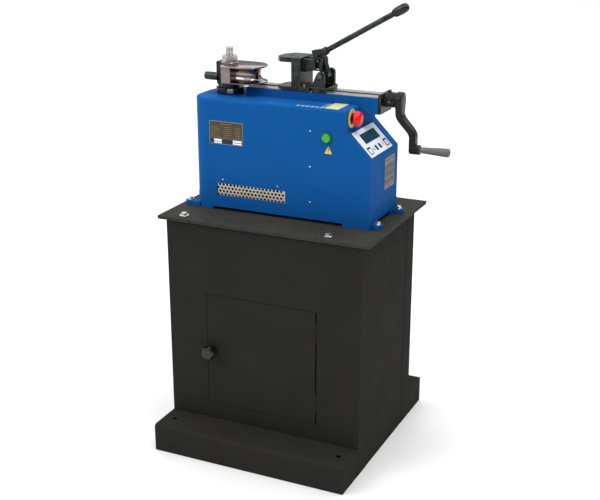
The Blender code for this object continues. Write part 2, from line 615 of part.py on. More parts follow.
def clamp_hook():
    """The hook over the former's point, with its round clamp bar."""
    origin = (SPINDLE_X, SPINDLE_Y, BODY_TOP)
    left, web, claw = SPINDLE_X - 0.0395, SPINDLE_X - 0.0285, SPINDLE_X - 0.0240
    top, low = FORMER_TOP + 0.0025, 1.0015
    outline = [(left + 0.006, low), (SPINDLE_X - 0.0270, low), (SPINDLE_X - 0.0270, FORMER_LOW - GAP),
               (web, FORMER_LOW - GAP), (web, FORMER_TOP + GAP), (claw, FORMER_TOP + GAP),
               (claw, top), (left, top), (left, low + 0.016), (left + 0.001, low + 0.007)]
    hook = add("clamp_hook", prism(outline, "y", 0.0015, 0.0300), "black_steel", origin)
    bar = [(0.0103, -0.2636), (0.0113, -0.2626), (0.0113, web)]
    join(hook, turned(bar, "x", (-0.0060, 1.0280), 20))


# ---------------------------------------------------------------- slide, screw and crank
def slide_bed():
    centre = (SLIDE_Y, SCREW_Z)
    low = BODY_TOP + GAP
    near, far = SLIDE_Y - BED_HALF, SLIDE_Y + BED_HALF
    bed = add("slide_bed", box((BED_LEFT, near, low), (BED_RIGHT, far, BED_TOP)), "machine_blue")
    join(bed, box((STEP_X + GAP, near, 0.9620), (BED_RIGHT, far, BED_TOP - 0.002)))
    cut(bed, box((-0.120, SLIDE_Y - SLOT_HALF, low - 0.01), (0.190, SLIDE_Y + SLOT_HALF, BED_TOP + 0.01)))
    cut(bed, cylinder(0.0055, -0.1365, -0.110, "x", centre, 16))
    cut(bed, cylinder(0.0062, 0.180, BED_RIGHT + 0.01, "x", centre, 16))
    half = {"front": (near + RAIL_INSET, SLIDE_Y - SLOT_HALF - 0.0005),
            "rear": (SLIDE_Y + SLOT_HALF + 0.0005, far - RAIL_INSET)}
    for place, (edge, other) in half.items():
        rail = box((BED_LEFT + 0.004, edge, BED_TOP + GAP), (BED_RIGHT - 0.002, other, RAIL_TOP))
        add(f"slide_rail_{place}", rail, "bright_steel")
    plate = add("screw_bearing_plate", box((BED_RIGHT + GAP, near, 0.9620),
                                           (BED_RIGHT + 0.0080, far, 1.0150)), "black_steel")
    cut(plate, cylinder(0.0055, BED_RIGHT - 0.01, BED_RIGHT + 0.02, "x", centre, 16))


def crank_section(share):
    """A cross-section of the swan-necked arm; share runs from 0 at the foot to 1 at the top."""
    top, bottom = SCREW_Z + ARM_HEAD_R, GRIP_Z - 0.0130
    z = bottom + (top - bottom) * share
    bend = min(max((0.963 - z) / 0.062, 0.0), 1.0)
    shift = ARM_SHIFT * bend * bend * (3 - 2 * bend)
    slope = ARM_SHIFT * 6 * bend * (1 - bend) / 0.062
    thick = 0.0090 * math.sqrt(1 + slope * slope * 0.7)
    wide = 0.0140 + 0.0025 * (1 - bend)
    if z > SCREW_Z:
        wide = math.sqrt(max(ARM_HEAD_R ** 2 - (z - SCREW_Z) ** 2, 0.0055 ** 2))
    elif z > SCREW_Z - 0.035:
        blend = (z - SCREW_Z + 0.035) / 0.035
        wide += (ARM_HEAD_R - wide) * blend * blend * (3 - 2 * blend)
    foot = min(1.0, (z - bottom) / 0.012)
    wide *= math.sqrt(max(0.12, 1 - (1 - foot) ** 2))
    x, chamfer = ARM_X + shift, 0.0030
    outline = [(x - thick, SLIDE_Y - wide + chamfer), (x - thick + chamfer, SLIDE_Y - wide),
               (x + thick - chamfer, SLIDE_Y - wide), (x + thick, SLIDE_Y - wide + chamfer),
               (x + thick, SLIDE_Y + wide - chamfer), (x + thick - chamfer, SLIDE_Y + wide),
               (x - thick + chamfer, SLIDE_Y + wide), (x - thick, SLIDE_Y + wide - chamfer)]
    return [Vector((u, v, z)) for u, v in outline]


def crank():
    centre = (SLIDE_Y, SCREW_Z)
    origin = (BED_RIGHT, SLIDE_Y, SCREW_Z)
    screw = [(JOURNAL_R, -0.1350), (JOURNAL_R, -0.1180), (SCREW_R, -0.1178), (SCREW_R, 0.1895),
             (JOURNAL_R, 0.1897), (JOURNAL_R, HUB_LEFT + 0.020)]
    add("lead_screw", turned(screw, "x", centre, 16), "bright_steel", origin, smooth=True)
    rings = [crank_section(k / CRANK_STEPS) for k in range(CRANK_STEPS + 1)]
    arm = add("crank_arm", loft(rings), "black_steel", origin, smooth=True)
    hub = [(HUB_R - 0.001, HUB_LEFT), (HUB_R, HUB_LEFT + 0.001), (HUB_R, ARM_X)]
    join(arm, turned(hub, "x", centre, 28))
    boss_x = ARM_X + ARM_SHIFT
    grip_centre = (SLIDE_Y, GRIP_Z)
    boss = [(0.0130, boss_x), (0.0130, boss_x + 0.0200), (0.0120, boss_x + 0.0212)]
    join(arm, turned(boss, "x", grip_centre, 20))
    cut(arm, cylinder(0.0053, HUB_LEFT - 0.01, HUB_LEFT + 0.0203, "x", centre, 16))
    screw_at = (HUB_LEFT + 0.0150, SCREW_Z)
    cut(arm, cylinder(0.0040, SLIDE_Y - 0.03, SLIDE_Y - HUB_R + 0.0020, "y", screw_at, 12))
    join(arm, turned([(0.0050, SCREW_Z + 0.0150), (0.0055, SCREW_Z + HUB_R + 0.0005),
                      (0.0050, SCREW_Z + HUB_R + 0.0050)], "z", (HUB_LEFT + 0.0080, SLIDE_Y), 12))
    join(arm, cylinder(0.0040, boss_x, GRIP_RIGHT - 0.010, "x", grip_centre, 16))
    shape = [(0.0070, GRIP_LEFT), (0.0086, GRIP_LEFT + 0.0020), (0.0098, GRIP_LEFT + 0.030),
             (0.0118, GRIP_RIGHT - 0.006), (0.0118, GRIP_RIGHT - 0.003), (0.0095, GRIP_RIGHT)]
    grip = add("crank_grip", turned(shape, "x", grip_centre, 24), "grip_grey",
               (GRIP_LEFT, SLIDE_Y, GRIP_Z), smooth=True)
    cut(grip, cylinder(0.0043, GRIP_LEFT - 0.01, GRIP_RIGHT - 0.0095, "x", grip_centre, 16))


# ---------------------------------------------------------------- carriage, yoke and lever
def front_lip(left, right):
    """The lip of a carriage piece that hangs in front of the front rail."""
    near = SLIDE_Y - YOKE_HALF
    return box((left, near, BED_TOP + 0.0005), (right, near + 0.0035, CARRIAGE_LOW + 0.003))


def carriage():
    """The driven half of the slide: base plate with two ears, screw nut and lever pivot."""
    origin = (PIVOT_X, SLIDE_Y, CARRIAGE_LOW)
    near, far = SLIDE_Y - YOKE_HALF, SLIDE_Y + YOKE_HALF
    base = add("carriage_base", box((0.0570, near, CARRIAGE_LOW), (0.0985, far, 1.0185)),
               "black_steel", origin)
    ear = [(0.0590, 1.0175), (0.0930, 1.0175)]
    ear += arc(PIVOT_X, PIVOT_Z, 0.0110, 0, 155, 10) + [(0.0590, 1.0280)]
    for edge in (near + 0.0010, far - 0.0110):
        join(base, prism(ear, "y", edge, edge + 0.0100))
    join(base, front_lip(0.0570, 0.0985))
    cut(base, cylinder(0.0052, near - 0.01, far + 0.01, "y", (PIVOT_X, PIVOT_Z), 16))
    pin = [(0.0080, near - 0.0040), (0.0080, near + 0.0005), (0.0049, near + 0.0007), (0.0049, far + 0.0020)]
    add("lever_pivot_pin", turned(pin, "y", (PIVOT_X, PIVOT_Z), 16), "zinc", origin, smooth=True)
    join(base, box((0.0630, SLIDE_Y - SLOT_HALF + 0.001, BODY_TOP + 0.0006),
                   (0.0930, SLIDE_Y + SLOT_HALF - 0.001, CARRIAGE_LOW + 0.002)))
    cut(base, cylinder(SCREW_R + 0.0003, 0.05, 0.11, "x", (SLIDE_Y, SCREW_Z), 16))


def yoke():
    """The C-shaped holder for the counter-die, with two slotted lugs for the lever's link pin."""
    origin = (POST_LEFT, SLIDE_Y, CARRIAGE_LOW)
    near, far = SLIDE_Y - YOKE_HALF, SLIDE_Y + YOKE_HALF
    outline = [(YOKE_LEFT, CARRIAGE_LOW), (0.0500, CARRIAGE_LOW), (0.0500, MOUTH_LOW),
               (POST_RIGHT, MOUTH_LOW), (POST_RIGHT, YOKE_TOP), (YOKE_LEFT, YOKE_TOP),
               (YOKE_LEFT, MOUTH_HIGH), (POST_LEFT, MOUTH_HIGH), (POST_LEFT, MOUTH_LOW),
               (YOKE_LEFT, MOUTH_LOW)]
    holder = add("yoke", prism(outline, "y", near, far), "black_steel", origin)
    lug = [(POST_RIGHT - 0.001, 1.0540), (0.0520, 1.0600), (0.0790, 1.0600), (0.0790, 1.0900),
           (0.0745, 1.0960), (0.0575, 1.0960), (0.0520, 1.0900), (POST_RIGHT - 0.001, 1.0900)]
    join(holder, front_lip(YOKE_LEFT + 0.014, 0.0500))
    for edge in (SLIDE_Y - 0.0218, SLIDE_Y + 0.0118):
        join(holder, prism(lug, "y", edge, edge + 0.0100))
    slot = [(LINK_X - 0.0065, 1.0635), (LINK_X + 0.0065, 1.0635),
            (LINK_X + 0.0065, 1.0930), (LINK_X - 0.0065, 1.0930)]
    cut(holder, prism(slot, "y", near, SLIDE_Y + 0.0178))
    below, above = CARRIAGE_LOW - 0.01, YOKE_TOP + 0.01
    nose = YOKE_LEFT - 0.01
    corner = [(nose, near - 0.01), (YOKE_LEFT + 0.014, near - 0.01), (YOKE_LEFT + 0.014, near),
              (YOKE_LEFT, near + 0.016), (nose, near + 0.016)]
    cut(holder, prism(corner, "z", below, above))
    corner = [(nose, far - 0.030), (YOKE_LEFT, far - 0.030), (YOKE_LEFT + 0.020, far),
              (YOKE_LEFT + 0.020, far + 0.01), (nose, far + 0.01)]
    cut(holder, prism(corner, "z", below, above))
    for x, y in ((-0.020, SLIDE_Y), (0.008, SLIDE_Y - 0.020), (0.008, SLIDE_Y + 0.020)):
        cut(holder, cylinder(0.0045, MOUTH_HIGH + 0.004, above, "z", (x, y), 12))
    screw_at = (0.0115, 1.0530)
    cut(holder, cylinder(0.0043, near - 0.01, near + 0.0040, "y", screw_at, 12))
    for x, y in ((0.0330, near + 0.008), (0.0400, SLIDE_Y - 0.004)):
        join(holder, cylinder(0.0040, MOUTH_LOW - 0.004, MOUTH_LOW + 0.0080, "z", (x, y), 12))


def lever():
    """The hand lever: forged head on the pivot, link pin, rod and knob."""
    origin = (PIVOT_X, SLIDE_Y, PIVOT_Z)
    near, far = SLIDE_Y - LEVER_HALF, SLIDE_Y + LEVER_HALF
    outline = arc(PIVOT_X, PIVOT_Z, 0.0110, -150, 20, 10)
    outline += [(0.0800, 1.0900), (0.0765, 1.0965), (0.0830, 1.1080), (0.0775, 1.1170), (0.0680, 1.1165),
                (0.0425, 1.1115), (0.0485, 1.0900), (0.0555, 1.0860), (0.0580, 1.0780)]
    head = add("lever_head", prism(outline, "y", near, far), "black_steel", origin)
    direction = Vector((ROD_END[0] - ROD_START[0], 0.0, ROD_END[1] - ROD_START[1])).normalized()
    start = Vector((ROD_START[0], SLIDE_Y, ROD_START[1]))
    end = Vector((ROD_END[0], SLIDE_Y, ROD_END[1]))
    join(head, rod_mesh(start, direction, [(0.0112, 0.000), (0.0112, 0.0265), (0.0100, 0.0280)]))
    cut(head, rod_mesh(start, direction, [(0.0078, 0.0047), (0.0078, 0.05)]))
    cut(head, cylinder(0.0053, near - 0.01, far + 0.01, "y", (PIVOT_X, PIVOT_Z), 16))
    cut(head, cylinder(0.0043, near - 0.01, far + 0.01, "y", (LINK_X, LINK_Z), 16))
    pin = [(0.0040, SLIDE_Y - 0.0225), (0.0040, SLIDE_Y + 0.0172)]
    add("link_pin", turned(pin, "y", (LINK_X, LINK_Z), 16), "bright_steel", origin, smooth=True)
    length = (end - start).length
    rod = [(ROD_R, 0.0050), (ROD_R, length - 0.0005)]
    add("lever_rod", rod_mesh(start, direction, rod), "black_steel", origin, smooth=True)
    knob = [(0.0090, -0.022), (0.0120, -0.017), (0.0130, 0.000),
            (0.0125, 0.012), (0.0095, 0.019), (0.0040, 0.022)]
    handle = add("lever_knob", rod_mesh(end, direction, knob), "black_plastic", origin, smooth=True)
    cut(handle, rod_mesh(end, direction, [(ROD_R + 0.0003, -0.03), (ROD_R + 0.0003, 0.0)]))


def rod_mesh(start, direction, profile, steps=16):
    """A solid of revolution about a slanting line in the slide's middle plane."""
    side = Vector((0.0, 1.0, 0.0))
    up = side.cross(direction)
    rings = []
    for radius, along in profile:
        middle = start + direction * along
        rings.append([middle + side * u + up * v for u, v in circle(0.0, 0.0, radius, steps)])
    return loft(rings)


def clear_scene():
    for item in list(bpy.data.objects):
        bpy.data.objects.remove(item, do_unlink=True)


def main():
    clear_scene()
    cabinet_floor()
    front = cabinet_panels()
    plinth("front_plinth", -1)
    plinth("rear_plinth", 1)
    mounting_plate()
    door(front)
    door_latch()
    base_skirt()
    housing_panels()
    console_panel()
    top_cover()
    grille_and_plates()
    console_controls()
    emergency_stop()
    start_button()
    spindle_drive()
    former()
    clamp_hook()
    slide_bed()
    crank()
    carriage()
    yoke()
    lever()


main()
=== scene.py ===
"""Looks of the tube bender: finishes for the CAD nodes, and detailed pieces around them."""

import json
import math

import bmesh
import bpy
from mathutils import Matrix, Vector


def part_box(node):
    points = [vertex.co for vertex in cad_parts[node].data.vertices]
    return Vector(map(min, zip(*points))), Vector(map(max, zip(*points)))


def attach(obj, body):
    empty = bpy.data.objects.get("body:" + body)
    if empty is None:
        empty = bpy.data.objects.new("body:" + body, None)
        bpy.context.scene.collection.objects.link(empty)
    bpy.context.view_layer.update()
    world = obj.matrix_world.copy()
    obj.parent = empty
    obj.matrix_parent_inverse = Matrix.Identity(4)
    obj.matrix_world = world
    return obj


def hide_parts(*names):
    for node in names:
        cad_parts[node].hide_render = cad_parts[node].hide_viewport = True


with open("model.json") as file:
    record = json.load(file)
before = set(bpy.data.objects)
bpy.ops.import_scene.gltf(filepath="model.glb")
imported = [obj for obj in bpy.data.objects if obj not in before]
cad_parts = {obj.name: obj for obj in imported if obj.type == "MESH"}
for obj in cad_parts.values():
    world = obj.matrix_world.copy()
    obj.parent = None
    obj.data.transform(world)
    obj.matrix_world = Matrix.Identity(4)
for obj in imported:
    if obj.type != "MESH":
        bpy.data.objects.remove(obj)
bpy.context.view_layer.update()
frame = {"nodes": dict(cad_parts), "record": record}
NODES = frame["nodes"]
BODY_OF = {node: body for body, names in frame["record"]["behaviour"]["bodies"].items() for node in names}

# ---------------------------------------------------------------- materials


def new_material(name):
    """A material with its node tree and its Principled shader."""
    material = bpy.data.materials.new(name)
    material.use_nodes = True
    tree = material.node_tree
    return material, tree, tree.nodes["Principled BSDF"]


def coordinates(tree, scale=(1, 1, 1)):
    """Object coordinates, stretched per axis."""
    source = tree.nodes.new("ShaderNodeTexCoord")
    mapping = tree.nodes.new("ShaderNodeMapping")
    mapping.inputs["Scale"].default_value = scale
    tree.links.new(source.outputs["Object"], mapping.inputs["Vector"])
    return mapping.outputs["Vector"]


def noise(tree, vector, scale, detail=3.0, rough=0.55, distortion=0.0):
    node = tree.nodes.new("ShaderNodeTexNoise")
    node.inputs["Scale"].default_value = scale
    node.inputs["Detail"].default_value = detail
    node.inputs["Roughness"].default_value = rough
    node.inputs["Distortion"].default_value = distortion
    tree.links.new(vector, node.inputs["Vector"])
    return node.outputs["Fac"]


def remap(tree, value, low, high, to_low, to_high):
    node = tree.nodes.new("ShaderNodeMapRange")
    node.inputs["From Min"].default_value = low
    node.inputs["From Max"].default_value = high
    node.inputs["To Min"].default_value = to_low
    node.inputs["To Max"].default_value = to_high
    tree.links.new(value, node.inputs["Value"])
    return node.outputs["Result"]


def blend_colour(tree, factor, first, second):
    """Mix two colours; either may be a socket or a tuple."""
    node = tree.nodes.new("ShaderNodeMix")
    node.data_type = "RGBA"
    tree.links.new(factor, node.inputs["Factor"])
    for socket, value in ((node.inputs["A"], first), (node.inputs["B"], second)):
        if isinstance(value, tuple):
            socket.default_value = (*value, 1.0)
        else:
            tree.links.new(value, socket)
    return node.outputs["Result"]


def multiply(tree, first, second):
    node = tree.nodes.new("ShaderNodeMath")
    node.operation = "MULTIPLY"
    tree.links.new(first, node.inputs[0])
    tree.links.new(second, node.inputs[1])
    return node.outputs["Value"]


def bump(tree, shader, height, strength, distance):
    node = tree.nodes.new("ShaderNodeBump")
    node.inputs["Strength"].default_value = strength
    node.inputs["Distance"].default_value = distance
    tree.links.new(height, node.inputs["Height"])
    tree.links.new(node.outputs["Normal"], shader.inputs["Normal"])


EDGE_LOW, EDGE_HIGH = 0.03, 0.28


def edge_mask(tree, radius):
    """Near 1 on outer and inner edges, 0 on flat surfaces."""
    round_normal = tree.nodes.new("ShaderNodeBevel")
    round_normal.samples = 4
    round_normal.inputs["Radius"].default_value = radius
    geometry = tree.nodes.new("ShaderNodeNewGeometry")
    dot = tree.nodes.new("ShaderNodeVectorMath")
    dot.operation = "DOT_PRODUCT"
    tree.links.new(round_normal.outputs["Normal"], dot.inputs[0])
    tree.links.new(geometry.outputs["Normal"], dot.inputs[1])
    return remap(tree, dot.outputs["Value"], 1.0 - EDGE_LOW, 1.0 - EDGE_HIGH, 0.0, 1.0)


def painted(name, colour, light, dark, rough, grain, depth, edge, specular, edge_radius=0.0012):
    """Sprayed paint: faint mottling, a fine texture and lighter edges that are partly paint wear and partly
    painted highlight.
    """
    material, tree, shader = new_material(name)
    place = coordinates(tree)
    cloud = remap(tree, noise(tree, place, 7.0, 5.0, 0.6), 0.32, 0.68, 0.0, 1.0)
    mottled = blend_colour(tree, cloud, dark, colour)
    fine = remap(tree, noise(tree, place, grain * 0.6, 2.0), 0.42, 0.62, 0.0, 0.55)
    speckled = blend_colour(tree, fine, mottled, light)
    # Lighter edges, a brighter copy of the paint: partly paint wear, partly painted highlight.
    edge_breakup = remap(tree, noise(tree, place, 60.0, 4.0, 0.65), 0.35, 0.65, 0.25, 1.0)
    wear_and_highlight_edges = multiply(tree, edge_mask(tree, edge_radius), edge_breakup)
    wear_and_highlight_share = remap(tree, wear_and_highlight_edges, 0.0, 1.0, 0.0, edge)
    lit = tuple(min(1.0, c * 2.0 + 0.020) for c in light)
    tree.links.new(blend_colour(tree, wear_and_highlight_share, speckled, lit), shader.inputs["Base Color"])
    tree.links.new(remap(tree, noise(tree, place, 35.0, 4.0), 0.3, 0.7, rough - 0.05, rough + 0.07),
                   shader.inputs["Roughness"])
    shader.inputs["Specular IOR Level"].default_value = specular
    bump(tree, shader, noise(tree, place, grain, 2.0), depth, 0.0004)
    return material


def machined(name, colour, tint, rough, streak, scale, depth, metallic=1.0):
    """Turned, milled or plated metal: streaks along the cut, faint stains, uneven gloss."""
    material, tree, shader = new_material(name)
    place = coordinates(tree)
    lines = noise(tree, coordinates(tree, streak), scale, 4.0, 0.7)
    stain = remap(tree, noise(tree, place, 28.0, 5.0, 0.62, 0.4), 0.38, 0.72, 0.0, 1.0)
    base = blend_colour(tree, stain, colour, tint)
    darker = tuple(c * 0.72 for c in colour)
    lined = remap(tree, lines, 0.35, 0.70, 0.55, 0.0)
    tree.links.new(blend_colour(tree, lined, base, darker), shader.inputs["Base Color"])
    tree.links.new(remap(tree, lines, 0.3, 0.7, rough * 0.75, rough * 1.35), shader.inputs["Roughness"])
    shader.inputs["Metallic"].default_value = metallic
    bump(tree, shader, lines, depth, 0.0003)
    return material


def blackened(name, dark, light, rough=0.30, edge=0.6, metallic=0.75, specular=0.5, edge_radius=0.0013):
    """Oil-blackened steel, mottled, with pale edges that are partly wear through to bare metal and partly
    painted highlight.
    """
    material, tree, shader = new_material(name)
    place = coordinates(tree)
    cloud = remap(tree, noise(tree, place, 55.0, 6.0, 0.65, 0.3), 0.35, 0.70, 0.0, 1.0)
    base = blend_colour(tree, cloud, dark, light)
    lines = noise(tree, coordinates(tree, (9.0, 1.0, 1.0)), 120.0, 5.0, 0.8)
    scratch = remap(tree, lines, 0.62, 0.74, 0.0, 0.35)
    scraped = blend_colour(tree, scratch, base, (0.16, 0.16, 0.17))
    # Pale edges: partly wear through to bare metal, partly painted highlight.
    edge_breakup = remap(tree, noise(tree, place, 140.0, 4.0, 0.7), 0.38, 0.62, 0.15, 1.0)
    wear_and_highlight_share = remap(tree, multiply(tree, edge_mask(tree, edge_radius), edge_breakup), 0.0, 1.0, 0.0, edge)
    tree.links.new(blend_colour(tree, wear_and_highlight_share, scraped, (0.34, 0.34, 0.35)), shader.inputs["Base Color"])
    tree.links.new(remap(tree, noise(tree, place, 90.0, 5.0), 0.3, 0.7, rough - 0.08, rough + 0.12),
                   shader.inputs["Roughness"])
    shader.inputs["Metallic"].default_value = metallic
    shader.inputs["Specular IOR Level"].default_value = specular
    bump(tree, shader, noise(tree, place, 420.0, 4.0, 0.7), 0.22, 0.0004)
    return material


def moulded(name, colour, rough, grain, depth, variation, coat=0.0, specular=0.4):
    """Moulded plastic or printed film: fine grain and slight unevenness of colour."""
    material, tree, shader = new_material(name)
    place = coordinates(tree)
    darker = tuple(c * (1.0 - variation) for c in colour)
    cloud = remap(tree, noise(tree, place, 45.0, 5.0, 0.6), 0.3, 0.7, 0.0, 1.0)
    tree.links.new(blend_colour(tree, cloud, darker, colour), shader.inputs["Base Color"])
    tree.links.new(remap(tree, noise(tree, place, 160.0, 3.0), 0.3, 0.7, rough - 0.05, rough + 0.06),
                   shader.inputs["Roughness"])
    shader.inputs["Coat Weight"].default_value = coat
    shader.inputs["Specular IOR Level"].default_value = specular
    bump(tree, shader, noise(tree, place, grain, 2.0), depth, 0.0003)
    return material


MAT = {
    "cabinet": painted("cabinet_powder_coat", (0.0225, 0.0222, 0.0208), (0.0310, 0.0305, 0.0285),
                       (0.0185, 0.0182, 0.0170), 0.55, 1100.0, 0.30, edge=0.40, specular=0.01),
    "plate": painted("plate_powder_coat", (0.0400, 0.0395, 0.0330), (0.060, 0.059, 0.049),
                     (0.0260, 0.0257, 0.0220), 0.55, 520.0, 0.45, edge=0.40, specular=0.03),
    "blue": painted("gloss_blue_paint", (0.0070, 0.0900, 0.3130), (0.008, 0.095, 0.327),
                    (0.0062, 0.0830, 0.2960), 0.36, 900.0, 0.03, edge=0.25, specular=0.008,
                    edge_radius=0.0010),
    "black_steel": blackened("blackened_steel", (0.012, 0.013, 0.014), (0.058, 0.060, 0.064)),
    # The crank gets strong, wide pale edges: painted highlight along its edges, with some wear.
    "cast_black": blackened("black_cast_iron", (0.0055, 0.0055, 0.0055), (0.013, 0.013, 0.012),
                            0.30, 0.85, 0.0, 0.22, 0.0020),
    "polished": machined("polished_tool_steel", (0.31, 0.270, 0.268), (0.17, 0.115, 0.108), 0.15,
                         (1, 1, 14), 60.0, 0.05),
    "turned": machined("turned_steel", (0.60, 0.585, 0.57), (0.40, 0.38, 0.36),
                       0.26, (1, 1, 10), 160.0, 0.10),
    "pin": machined("dark_pin_steel", (0.13, 0.13, 0.13), (0.07, 0.07, 0.07),
                    0.32, (1, 1, 1), 260.0, 0.12),
    "zinc": machined("zinc_plated_steel", (0.74, 0.74, 0.72), (0.56, 0.54, 0.46),
                     0.27, (1, 1, 1), 260.0, 0.12),
    "rail": machined("ground_rail_steel", (0.50, 0.48, 0.44), (0.30, 0.27, 0.22),
                     0.34, (1, 16, 16), 45.0, 0.10),
    "screw": machined("screw_steel", (0.50, 0.48, 0.45), (0.30, 0.26, 0.21),
                      0.30, (12, 1, 1), 120.0, 0.10),
    "gear": machined("gear_steel", (0.52, 0.51, 0.49), (0.36, 0.33, 0.28),
                     0.32, (1, 1, 8), 120.0, 0.10),
    "stainless": machined("stainless_sheet", (0.62, 0.57, 0.50), (0.50, 0.44, 0.37),
                          0.36, (1, 1, 9), 90.0, 0.08),
    "casting": machined("grey_casting", (0.17, 0.175, 0.18), (0.12, 0.12, 0.12),
                        0.55, (1, 1, 1), 300.0, 0.5, 0.2),
    "black_plastic": moulded("black_moulded_plastic", (0.009, 0.009, 0.010), 0.24, 700.0, 0.10, 0.25),
    "grip": moulded("grey_moulded_grip", (0.130, 0.130, 0.129), 0.40, 500.0, 0.15, 0.25),
    "red": moulded("red_push_button", (0.80, 0.008, 0.010), 0.22, 600.0, 0.04, 0.12, 0.0, 0.30),
    "yellow": moulded("yellow_backing", (0.80, 0.60, 0.060), 0.38, 600.0, 0.06, 0.12),
    "green": moulded("green_push_button", (0.020, 0.400, 0.060), 0.26, 600.0, 0.04, 0.15, 0.5),
    "green_dark": moulded("dark_green_ring", (0.006, 0.110, 0.045), 0.32, 600.0, 0.05, 0.15),
    "film_white": moulded("white_membrane_film", (0.80, 0.86, 0.96), 0.38, 1200.0, 0.06, 0.05),
    "film_blue": moulded("dark_blue_print", (0.004, 0.030, 0.095), 0.50, 1200.0, 0.05, 0.15, 0.0, 0.05),
    "film_black": moulded("black_print", (0.010, 0.012, 0.018), 0.35, 1200.0, 0.05, 0.15),
    "film_pale": moulded("pale_print", (0.50, 0.53, 0.50), 0.42, 1200.0, 0.05, 0.12),
    "film_yellow": moulded("yellow_print", (0.72, 0.60, 0.080), 0.40, 1200.0, 0.05, 0.12),
    "film_green": moulded("green_print", (0.10, 0.42, 0.11), 0.38, 1200.0, 0.05, 0.12),
    "film_grey": moulded("grey_print", (0.24, 0.235, 0.24), 0.42, 1200.0, 0.06, 0.15),
    "film_brown": moulded("brown_print", (0.110, 0.095, 0.090), 0.42, 1200.0, 0.06, 0.25),
    "film_red": moulded("red_print", (0.190, 0.090, 0.080), 0.42, 1200.0, 0.05, 0.15),
    "film_olive": moulded("olive_print", (0.060, 0.052, 0.026), 0.42, 1200.0, 0.06, 0.30),
    "film_ochre": moulded("ochre_print", (0.200, 0.140, 0.035), 0.42, 1200.0, 0.05, 0.25),
    "lcd": moulded("display_window", (0.002, 0.058, 0.110), 0.50, 1400.0, 0.02, 0.25, 0.0, 0.05),
    "lcd_ink": moulded("display_segments", (0.002, 0.034, 0.070), 0.50, 1400.0, 0.02, 0.1, 0.0, 0.05),
}

NODE_FINISH = {
    "cabinet": "cabinet_floor cabinet_front cabinet_back cabinet_left cabinet_right "
               "front_plinth rear_plinth door",
    "plate": "mounting_plate",
    "blue": "base_skirt front_panel rear_panel left_end_panel console_panel top_cover slide_bed",
    "black_steel": "screw_bearing_plate spindle clamp_hook carriage_base yoke lever_head lever_rod",
    "cast_black": "crank_arm",
    "polished": "former",
    "turned": "former_washer former_nut spindle_key link_pin",
    "zinc": "plate_bolt_front_left plate_bolt_front_right plate_bolt_rear_left plate_bolt_rear_right "
            "base_bolt_front_left base_bolt_front_right base_bolt_rear_left base_bolt_rear_right "
            "lever_pivot_pin",
    "rail": "slide_rail_front slide_rail_rear",
    "screw": "lead_screw",
    "gear": "drive_gear pinion",
    "stainless": "vent_grille",
    "casting": "housing_floor gearbox motor spindle_bearing",
    "black_plastic": "door_knob estop_stem start_bezel cable_gland lever_knob",
    "grip": "crank_grip",
    "red": "estop_button",
    "yellow": "estop_disc",
    "green": "start_button",
    "film_white": "control_membrane",
    "film_olive": "rating_plate",
    "lcd": "display",
}


def spread(table):
    """A table of space-separated names, turned round: each name with its key."""
    return {name: key for key, names in table.items() for name in names.split()}


FINISH_OF = spread(NODE_FINISH)

# ---------------------------------------------------------------- mesh helpers
PLANES = {"x": (1, 2, 0), "y": (0, 2, 1), "z": (0, 1, 2)}


def at(axis, u, v, height):
    """A point from two plan coordinates and a height along the axis."""
    point = [0.0, 0.0, 0.0]
    first, second, along = PLANES[axis]
    point[first], point[second], point[along] = u, v, height
    return Vector(point)


def arc(cx, cy, radius, start, end, steps):
    """Points of an arc, both ends included; angles in degrees."""
    angles = [math.radians(start + (end - start) * i / steps) for i in range(steps + 1)]
    return [(cx + radius * math.cos(a), cy + radius * math.sin(a)) for a in angles]


def circle(centre, radius, steps):
    return arc(*centre, radius, 0, 360 - 360 / steps, steps - 1)


def skin(mesh, low, high):
    """A band of faces between two closed rows of vertices."""
    for i in range(len(low)):
        j = (i + 1) % len(low)
        mesh.faces.new((low[i], low[j], high[j], high[i]))


def lofts(solids):
    """One mesh of solids, each through rings of equally many points, with flat ends."""
    mesh = bmesh.new()
    for rings in solids:
        rows = [[mesh.verts.new(point) for point in ring] for ring in rings]
        for low, high in zip(rows, rows[1:]):
            skin(mesh, low, high)
        mesh.faces.new(rows[0])
        mesh.faces.new(rows[-1])
    bmesh.ops.recalc_face_normals(mesh, faces=mesh.faces)
    return mesh


def loft(rings):
    return lofts([rings])


def lifted(profile, start, sign=1):
    """A profile whose places count from start, in the direction of sign."""
    return [(radius, start + sign * place) for radius, place in profile]


def turned(profile, axis, centre, steps):
    """A solid of revolution: the profile lists (radius, place along the axis)."""
    return loft([[at(axis, u, v, h) for u, v in circle(centre, r, steps)] for r, h in profile])


def tube(profile, axis, centre, steps):
    """A solid of revolution with a hole: the profile is a closed outline of (radius, place)."""
    mesh = bmesh.new()
    rows = [[mesh.verts.new(at(axis, u, v, h)) for u, v in circle(centre, r, steps)] for r, h in profile]
    for k, low in enumerate(rows):
        skin(mesh, low, rows[(k + 1) % len(rows)])
    bmesh.ops.recalc_face_normals(mesh, faces=mesh.faces)
    return mesh


def prism(outline, axis, start, end):
    """A flat outline pulled along the axis from start to end."""
    return loft([[at(axis, u, v, h) for u, v in outline] for h in (start, end)])


def rectangle(u, v, wide, tall):
    return [(u, v), (u + wide, v), (u + wide, v + tall), (u, v + tall)]


def block(low, high):
    """A box between two corners."""
    outline = [(low[0], low[1]), (high[0], low[1]), (high[0], high[1]), (low[0], high[1])]
    return prism(outline, "z", low[2], high[2])


def middle_of(node, axis):
    """The centre of a node's box, seen along the axis."""
    low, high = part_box(node)
    first, second, _ = PLANES[axis]
    return ((low[first] + high[first]) / 2, (low[second] + high[second]) / 2)


def smooth(data, degrees=32):
    """Smooth shading, broken at edges sharper than the angle."""
    data.shade_smooth()
    data.set_sharp_from_angle(angle=math.radians(degrees))


